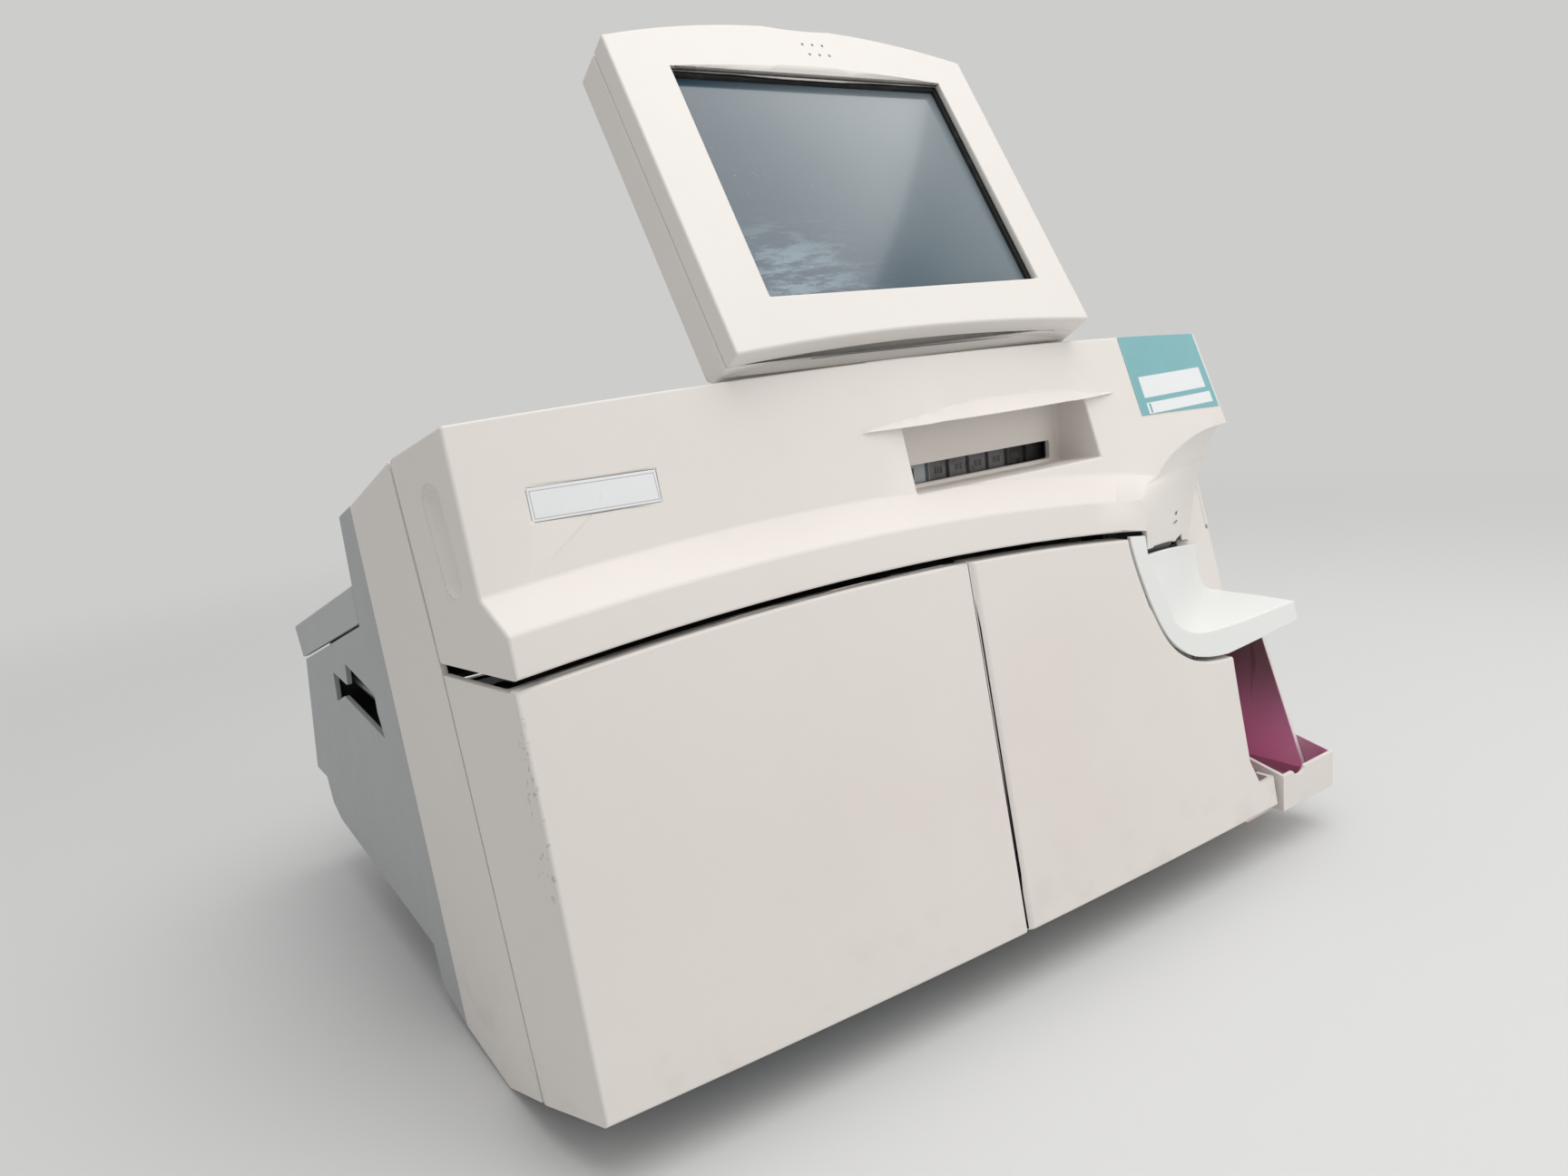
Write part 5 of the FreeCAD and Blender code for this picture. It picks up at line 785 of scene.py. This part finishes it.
def print_bar(bm, low, high, turn):
    """A flat printed bar in the plane of X and Z, fine enough to follow a curved wall."""
    made = bmesh.ops.create_grid(bm, x_segments=6, y_segments=2, size=0.5)
    verts = made["verts"]
    wide, tall = high[0] - low[0], high[1] - low[1]
    bmesh.ops.scale(bm, verts=verts, vec=(wide, tall, 1))
    bmesh.ops.translate(bm, verts=verts, vec=((low[0] + high[0]) / 2, (low[1] + high[1]) / 2, 0))
    bmesh.ops.transform(bm, matrix=turn @ Matrix.Rotation(math.pi / 2, 4, "X"), verts=verts)
    return verts


def print_round(bm, middle, radii, turn, sides, inner=0.0):
    """A flat printed oval, or a ring where inner is its inside share."""
    made = bmesh.ops.create_circle(bm, cap_ends=True, segments=sides, radius=1.0)
    verts = made["verts"]
    if inner:
        face = next(f for f in verts[0].link_faces)
        bmesh.ops.inset_region(bm, faces=[face], thickness=1 - inner, use_even_offset=True)
        verts = list(set(verts) | set(face.verts))
        bmesh.ops.delete(bm, geom=[face], context="FACES_ONLY")
    bmesh.ops.scale(bm, verts=verts, vec=(radii[0], radii[1], 1))
    bmesh.ops.translate(bm, verts=verts, vec=(middle[0], middle[1], 0))
    bmesh.ops.transform(bm, matrix=turn @ Matrix.Rotation(math.pi / 2, 4, "X"), verts=verts)
    return verts


# Operators


class ANALYZER_OT_front(bpy.types.Operator):
    """Rounded white housing in front: hood, doors, side frame and the panel behind the bay"""
    bl_idname = "analyzer.front"
    bl_label = "Front housing"

    def execute(self, context):
        s = shapes()
        white = finish_of("casing_white", casing_finish)
        rounded("hood", white, s.shell_round)
        rounded("left_door", finish_of("casing_chipped", chipped_finish), s.shell_round)
        rounded("right_door", white, s.shell_round)
        rounded("mid_frame", white, s.shell_round)
        rounded("bay_panel", white, s.trim_round)
        return {"FINISHED"}


class ANALYZER_OT_labels(bpy.types.Operator):
    """Bare plate in its recess and the teal film with two bare fields"""
    bl_idname = "analyzer.labels"
    bl_label = "Plate and label"

    def execute(self, context):
        rounded("name_plate", finish_of("bare_plate", plate_finish), THIN_ROUND, SMALL_STEPS)
        coat("info_label", finish_of("teal_label", label_finish))
        return {"FINISHED"}


class ANALYZER_OT_window(bpy.types.Operator):
    """Window over the sensor cassettes, with the marks on their faces"""
    bl_idname = "analyzer.window"
    bl_label = "Sensor window"

    def execute(self, context):
        rounded("window_frame", finish_of("dark_moulding", dark_finish), THIN_ROUND, SMALL_STEPS)
        coat("window_pane", finish_of("clear_window", pane_finish))
        rounded("sensor_cassettes", finish_of("sensor_faces", sensor_finish), THIN_ROUND, SMALL_STEPS)
        low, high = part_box("sensor_cassettes")
        face = low.y - 0.02 * MM
        wide = (high.x - low.x) / 7
        marks = bmesh.new()
        for i in range(1, 6):
            middle = low.x + wide * (i + 0.5)
            for bar, wide_bar in ((-3.0, 1.6), (-0.6, 0.8), (1.2, 2.0)):
                block(marks, (middle + bar * MM, face - 0.15 * MM, low.z + 13 * MM),
                      (middle + (bar + wide_bar) * MM, face, low.z + 17 * MM))
        body = body_of("sensor_cassettes")
        fitted("cassette_marks", marks, finish_of("pale_marks", pale_mark_finish), body)
        square = bmesh.new()
        block(square, (low.x + 1.2 * MM, face - 0.15 * MM, low.z + 12 * MM),
              (low.x + 5 * MM, face, low.z + 19 * MM))
        fitted("cassette_square", square, finish_of("ink", ink_finish), body)
        return {"FINISHED"}


class ANALYZER_OT_bay(bpy.types.Operator):
    """Arm rest, slot for the sample and its pictograms"""
    bl_idname = "analyzer.bay"
    bl_label = "Sample bay"

    def execute(self, context):
        s = shapes()
        rounded("sample_rest", finish_of("rest_white", rest_finish), s.trim_round)
        coat("port_plate", finish_of("dark_moulding", dark_finish))
        bright = finish_of("bright_steel", bright_finish)
        for node in ("sample_probe", "probe_rail"):
            rounded(node, bright, ROD_ROUND, SMALL_STEPS)
        rounded("probe_holder", finish_of("dark_moulding", dark_finish), s.fine_round, SMALL_STEPS)
        rounded("probe_motor", finish_of("motor_black", motor_finish), s.trim_round, SMALL_STEPS)
        self.pictograms(s.icon_height)
        return {"FINISHED"}

    def pictograms(self, tall):
        """Three small pictograms over the slot: a syringe, an arrow to the slot and a capsule."""
        print_lean = math.radians(25.5)
        low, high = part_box("sample_probe")
        tip = Vector((high.x, low.y, (low.z + high.z) / 2))
        turn = Matrix.Translation(tip) @ Matrix.Rotation(print_lean, 4, "Z")
        inward = Vector((-math.sin(print_lean), math.cos(print_lean), 0))
        unit = tall / 5
        prints = bmesh.new()
        rows = (tall * 2.1, tall * 3.2, tall * 4.4)
        print_round(prints, (-1.5 * unit, rows[0]), (4.2 * unit, 1.3 * unit), turn, 24, 0.72)
        print_round(prints, (-8.2 * unit, rows[1]), (1.3 * unit, 1.5 * unit), turn, 3)
        for left, right in ((-5.6, -3.2), (-2.6, -0.2), (0.4, 2.8)):
            print_bar(prints, (left * unit, rows[1] - 0.55 * unit), (right * unit, rows[1] + 0.55 * unit),
                      turn)
        print_bar(prints, (-6.8 * unit, rows[2] - 0.22 * unit), (-3.4 * unit, rows[2] + 0.22 * unit), turn)
        print_bar(prints, (-3.4 * unit, rows[2] - 0.95 * unit), (1.8 * unit, rows[2] + 0.95 * unit), turn)
        print_bar(prints, (2.4 * unit, rows[2] - 1.5 * unit), (2.9 * unit, rows[2] + 1.5 * unit), turn)
        print_on(prints, "hood", inward)
        fitted("bay_pictograms", prints, finish_of("ink", ink_finish), "hood")


class ANALYZER_OT_well(bpy.types.Operator):
    """Stained bottle well and its pull-out tray"""
    bl_idname = "analyzer.well"
    bl_label = "Bottle well and tray"

    def execute(self, context):
        s = shapes()
        rounded("bottle_well", finish_of("stained_well", well_finish), s.trim_round)
        rounded("bottle_tray", finish_of("stained_tray", tray_finish), s.trim_round)
        coat("tray_runners", finish_of("dark_moulding", dark_finish))
        return {"FINISHED"}


class ANALYZER_OT_screen(bpy.types.Operator):
    """Touch screen with its housing, glass, gasket, speaker and hinge arms"""
    bl_idname = "analyzer.screen"
    bl_label = "Touch screen"

    def execute(self, context):
        s = shapes()
        white = finish_of("screen_white", screen_casing_finish)
        rounded("screen_bezel", white, s.shell_round)
        rounded("screen_back", white, s.shell_round)
        coat("display_panel", finish_of("screen_glass", glass_finish))
        coat("display_gasket", finish_of("black_rubber", rubber_finish))
        coat("speaker", finish_of("dark_moulding", dark_finish))
        rounded("screen_arms", finish_of("powder_coat", coated_finish), s.trim_round)
        bright = finish_of("bright_steel", bright_finish)
        rounded("arm_bolts", bright, s.fine_round, SMALL_STEPS)
        rounded("tilt_pin_rod", bright, s.fine_round, SMALL_STEPS)
        return {"FINISHED"}


class ANALYZER_OT_rear(bpy.types.Operator):
    """Grey rear body and lid with hand-holds and sockets"""
    bl_idname = "analyzer.rear"
    bl_label = "Rear body"

    def execute(self, context):
        s = shapes()
        rounded("rear_body", finish_of("body_grey", grey_finish), s.shell_round)
        rounded("rear_lid", finish_of("lid_grey", lid_finish), s.shell_round)
        dark = finish_of("dark_moulding", dark_finish)
        rounded("grip_liners", finish_of("grip_dark", grip_finish), s.trim_round, SMALL_STEPS)
        rounded("grip_bars", finish_of("zinc_plate", zinc_finish), s.trim_round, SMALL_STEPS)
        for node in ("power_inlet", "switch_frame", "data_ports", "power_rocker", "fan_frame"):
            rounded(node, dark, s.fine_round, SMALL_STEPS)
        rounded("fan_rotor", finish_of("chip_black", chip_finish), s.fine_round, SMALL_STEPS)
        coat("lid_hinge_pins", finish_of("bright_steel", bright_finish))
        return {"FINISHED"}


# Chips on the board: shares of its width and depth, then half width, half depth and height in millimetres.
CHIPS = ((0.2, 0.3, 14, 14, 3), (0.46, 0.32, 10, 7, 2.2), (0.46, 0.62, 10, 7, 2.2), (0.66, 0.3, 8, 12, 2.6),
         (0.68, 0.68, 6, 4, 1.8), (0.22, 0.72, 7, 5, 2), (0.32, 0.86, 4, 3, 1.6))


class ANALYZER_OT_insides(bpy.types.Operator):
    """What stands behind the doors and under the lid"""
    bl_idname = "analyzer.insides"
    bl_label = "Insides"

    def execute(self, context):
        s = shapes()
        zinc = finish_of("zinc_plate", zinc_finish)
        bright = finish_of("bright_steel", bright_finish)
        dark = finish_of("dark_moulding", dark_finish)
        black = finish_of("motor_black", motor_finish)
        for node in ("base_pan", "pump_plate"):
            rounded(node, zinc, s.trim_round, SMALL_STEPS)
        for node in ("mid_shelf", "left_hinge_rail", "centre_post"):
            rounded(node, black, s.trim_round, SMALL_STEPS)
        rounded("power_supply", zinc, s.trim_round, SMALL_STEPS)
        rounded("rear_legs", finish_of("powder_coat", coated_finish), s.trim_round, SMALL_STEPS)
        rounded("rubber_feet", finish_of("black_rubber", rubber_finish), s.trim_round, SMALL_STEPS)
        for node in ("board_spacers", "roll_spindle"):
            rounded(node, bright, s.fine_round, SMALL_STEPS)
        for node in ("door_catches", "pump_housing", "printer_body"):
            rounded(node, dark, s.trim_round, SMALL_STEPS)
        rounded("pump_motor", black, s.trim_round, SMALL_STEPS)
        rounded("pump_rotor", finish_of("wash_clear", wash_finish), s.fine_round, SMALL_STEPS)
        rounded("measuring_block", finish_of("block_metal", block_finish), s.trim_round, SMALL_STEPS)
        rounded("reagent_cartridge", finish_of("reagent_blue", reagent_finish), s.shell_round)
        rounded("wash_cartridge", finish_of("wash_clear", wash_finish), s.shell_round)
        coat("main_board", finish_of("board_green", board_finish))
        rounded("paper_roll", finish_of("paper", paper_finish), s.fine_round, SMALL_STEPS)
        self.board_parts()
        self.cartridge_parts()
        return {"FINISHED"}

    def board_parts(self):
        """Chips, connectors and capacitors on the main board."""
        low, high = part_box("main_board")
        top = high.z + 0.05 * MM
        wide, deep = high.x - low.x, high.y - low.y
        chips = bmesh.new()
        for across, back, half, half_deep, tall in CHIPS:
            x, y = low.x + wide * across, low.y + deep * back
            block(chips, (x - half * MM, y - half_deep * MM, top),
                  (x + half * MM, y + half_deep * MM, top + tall * MM), 0.4 * MM)
        body = body_of("main_board")
        fitted("board_chips", chips, finish_of("chip_black", chip_finish), body)
        plugs = bmesh.new()
        for i in range(4):
            x = low.x + wide * (0.14 + 0.24 * i)
            y = high.y - 8 * MM
            block(plugs, (x - 11 * MM, y - 3 * MM, top), (x + 11 * MM, y + 3 * MM, top + 9 * MM), 0.5 * MM)
            for pin in range(8):
                start = x - 9 * MM + pin * 2.54 * MM
                block(plugs, (start - 0.3 * MM, y - 0.3 * MM, top + 9 * MM),
                      (start + 0.3 * MM, y + 0.3 * MM, top + 12 * MM))
        fitted("board_plugs", plugs, finish_of("connector_cream", connector_finish), body)
        cans = bmesh.new()
        pattern = can(4 * MM, 11 * MM, 0.6 * MM)
        for i in range(5):
            x = low.x + wide * (0.84 + 0.05 * (i % 2))
            y = low.y + deep * (0.15 + 0.15 * i)
            known = len(cans.verts)
            cans.from_mesh(pattern)
            bmesh.ops.translate(cans, verts=cans.verts[known:], vec=(x, y, top))
        bpy.data.meshes.remove(pattern)
        fitted("board_capacitors", cans, finish_of("bright_steel", bright_finish), body)

    def cartridge_parts(self):
        """Bare stickers on the cartridges' fronts."""
        stickers = bmesh.new()
        for node in ("reagent_cartridge", "wash_cartridge"):
            low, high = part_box(node)
            block(stickers, (low.x + 14 * MM, low.y - 0.25 * MM, low.z + 62 * MM),
                  (high.x - 14 * MM, low.y - 0.05 * MM, low.z + 112 * MM))
        fitted("cartridge_stickers", stickers, finish_of("bare_sticker", film_finish), "frame")


class ANALYZER_OT_stage(bpy.types.Operator):
    """Bench, backdrop, soft lamps and the camera at the photograph's angle"""
    bl_idname = "analyzer.stage"
    bl_label = "Studio"

    def execute(self, context):
        self.bench()
        self.room(context)
        self.lamps(context)
        self.camera(context)
        context.scene.view_settings.view_transform = "Standard"
        return {"FINISHED"}

    def bench(self):
        """A pale disc that fades into the backdrop."""
        bm = bmesh.new()
        bmesh.ops.create_circle(bm, cap_ends=True, segments=96, radius=7.0)
        f = Finish("bench_top", colours().bench, 0.6)
        f.tint(f.noise(1.4, 2.0).step(0.3, 0.8) * 0.3, shade(colours().bench, 0.97))
        x, y, _ = f.axes()
        reach = ((x - 0.05) ** 2.0 + (y - 0.05) ** 2.0) ** 0.5
        far = reach.step(0.75, 2.1)
        glow = f.node("Emission", {}, {"Color": colours().backdrop, "Strength": 1.0})
        seen = f.rays("Camera", "Glossy")
        blend = f.node("MixShader", {}, {0: far * seen, 1: Value(f, f.shader.outputs[0]), 2: glow})
        f.feed(f.tree.nodes["Material Output"].inputs["Surface"], blend)
        mesh = bpy.data.meshes.new("bench")
        bm.to_mesh(mesh)
        bm.free()
        mesh.materials.append(f.material)
        floor = bpy.data.objects.new("bench", mesh)
        bpy.context.scene.collection.objects.link(floor)

    def room(self, context):
        """Even room light; the camera, gloss and glass see the backdrop's colour."""
        world = bpy.data.worlds.new("room")
        context.scene.world = world
        world.use_nodes = True
        f = Nodes(world.node_tree)
        f.tree.nodes.remove(f.tree.nodes["Background"])
        sky = context.scene.analyzer_stage.sky
        light = f.node("Background", {}, {"Color": (1.0, 0.995, 0.985), "Strength": sky})
        wall = f.node("Background", {}, {"Color": colours().backdrop, "Strength": 1.0})
        seen = f.rays("Camera", "Glossy", "Transmission")
        blend = f.node("MixShader", {}, {0: seen, 1: light, 2: wall})
        f.feed(f.tree.nodes["World Output"].inputs["Surface"], blend)

    def lamps(self, context):
        stage = context.scene.analyzer_stage
        for name, place, aim, wide, power in (
                ("lamp_overhead", (0.3, -0.5, 2.3), (0.0, 0.0, 0.2), 2.6, stage.overhead),
                ("lamp_front", (0.9, -2.0, 1.2), (0.0, 0.0, 0.2), 1.8, stage.front)):
            data = bpy.data.lights.new(name, "AREA")
            data.shape = "DISK"
            data.size = wide
            data.energy = power
            data.color = (1.0, 0.985, 0.965)
            lamp = bpy.data.objects.new(name, data)
            lamp.location = place
            lamp.rotation_mode = "QUATERNION"
            lamp.rotation_quaternion = (Vector(aim) - Vector(place)).to_track_quat("-Z", "Y")
            context.scene.collection.objects.link(lamp)

    def camera(self, context):
        stage = context.scene.analyzer_stage
        right = Vector(stage.camera_right).normalized()
        up = Vector(stage.camera_up)
        up = (up - right * up.dot(right)).normalized()
        back = right.cross(up)
        data = bpy.data.cameras.new("camera")
        data.sensor_fit = "HORIZONTAL"
        data.sensor_width = 36.0
        data.lens = stage.lens
        data.clip_start = 0.02
        data.clip_end = 60.0
        thing = bpy.data.objects.new("camera", data)
        turn = Matrix((right, up, back)).transposed().to_4x4()
        thing.matrix_world = Matrix.Translation(Vector(stage.camera_place)) @ turn
        context.scene.collection.objects.link(thing)
        context.scene.camera = thing


OPERATORS = (ANALYZER_OT_front, ANALYZER_OT_labels, ANALYZER_OT_window, ANALYZER_OT_bay, ANALYZER_OT_well,
             ANALYZER_OT_screen, ANALYZER_OT_rear, ANALYZER_OT_insides, ANALYZER_OT_stage)


class ANALYZER_PT_panel(bpy.types.Panel):
    """Lists the pieces and the settings"""
    bl_idname = "ANALYZER_PT_panel"
    bl_label = "Blood Gas Analyzer"
    bl_space_type = "VIEW_3D"
    bl_region_type = "UI"
    bl_category = "Analyzer"

    def draw(self, context):
        for operator in OPERATORS:
            self.layout.operator(operator.bl_idname, text=operator.bl_label)
        scene = context.scene
        for group in (scene.analyzer_shapes, scene.analyzer_colours, scene.analyzer_stage):
            box = self.layout.box()
            for name in group.__annotations__:
                box.prop(group, name)


GROUPS = (AnalyzerShapes, AnalyzerColours, AnalyzerStage)


def register():
    for item in (*GROUPS, *OPERATORS, ANALYZER_PT_panel):
        bpy.utils.register_class(item)
    bpy.types.Scene.analyzer_shapes = PointerProperty(type=AnalyzerShapes)
    bpy.types.Scene.analyzer_colours = PointerProperty(type=AnalyzerColours)
    bpy.types.Scene.analyzer_stage = PointerProperty(type=AnalyzerStage)


def unregister():
    del bpy.types.Scene.analyzer_stage
    del bpy.types.Scene.analyzer_colours
    del bpy.types.Scene.analyzer_shapes
    for item in reversed((*GROUPS, *OPERATORS, ANALYZER_PT_panel)):
        bpy.utils.unregister_class(item)


def main():
    register()
    for operator in OPERATORS:
        group, name = operator.bl_idname.split(".")
        getattr(getattr(bpy.ops, group), name)()


if __name__ == "__main__":
    main()
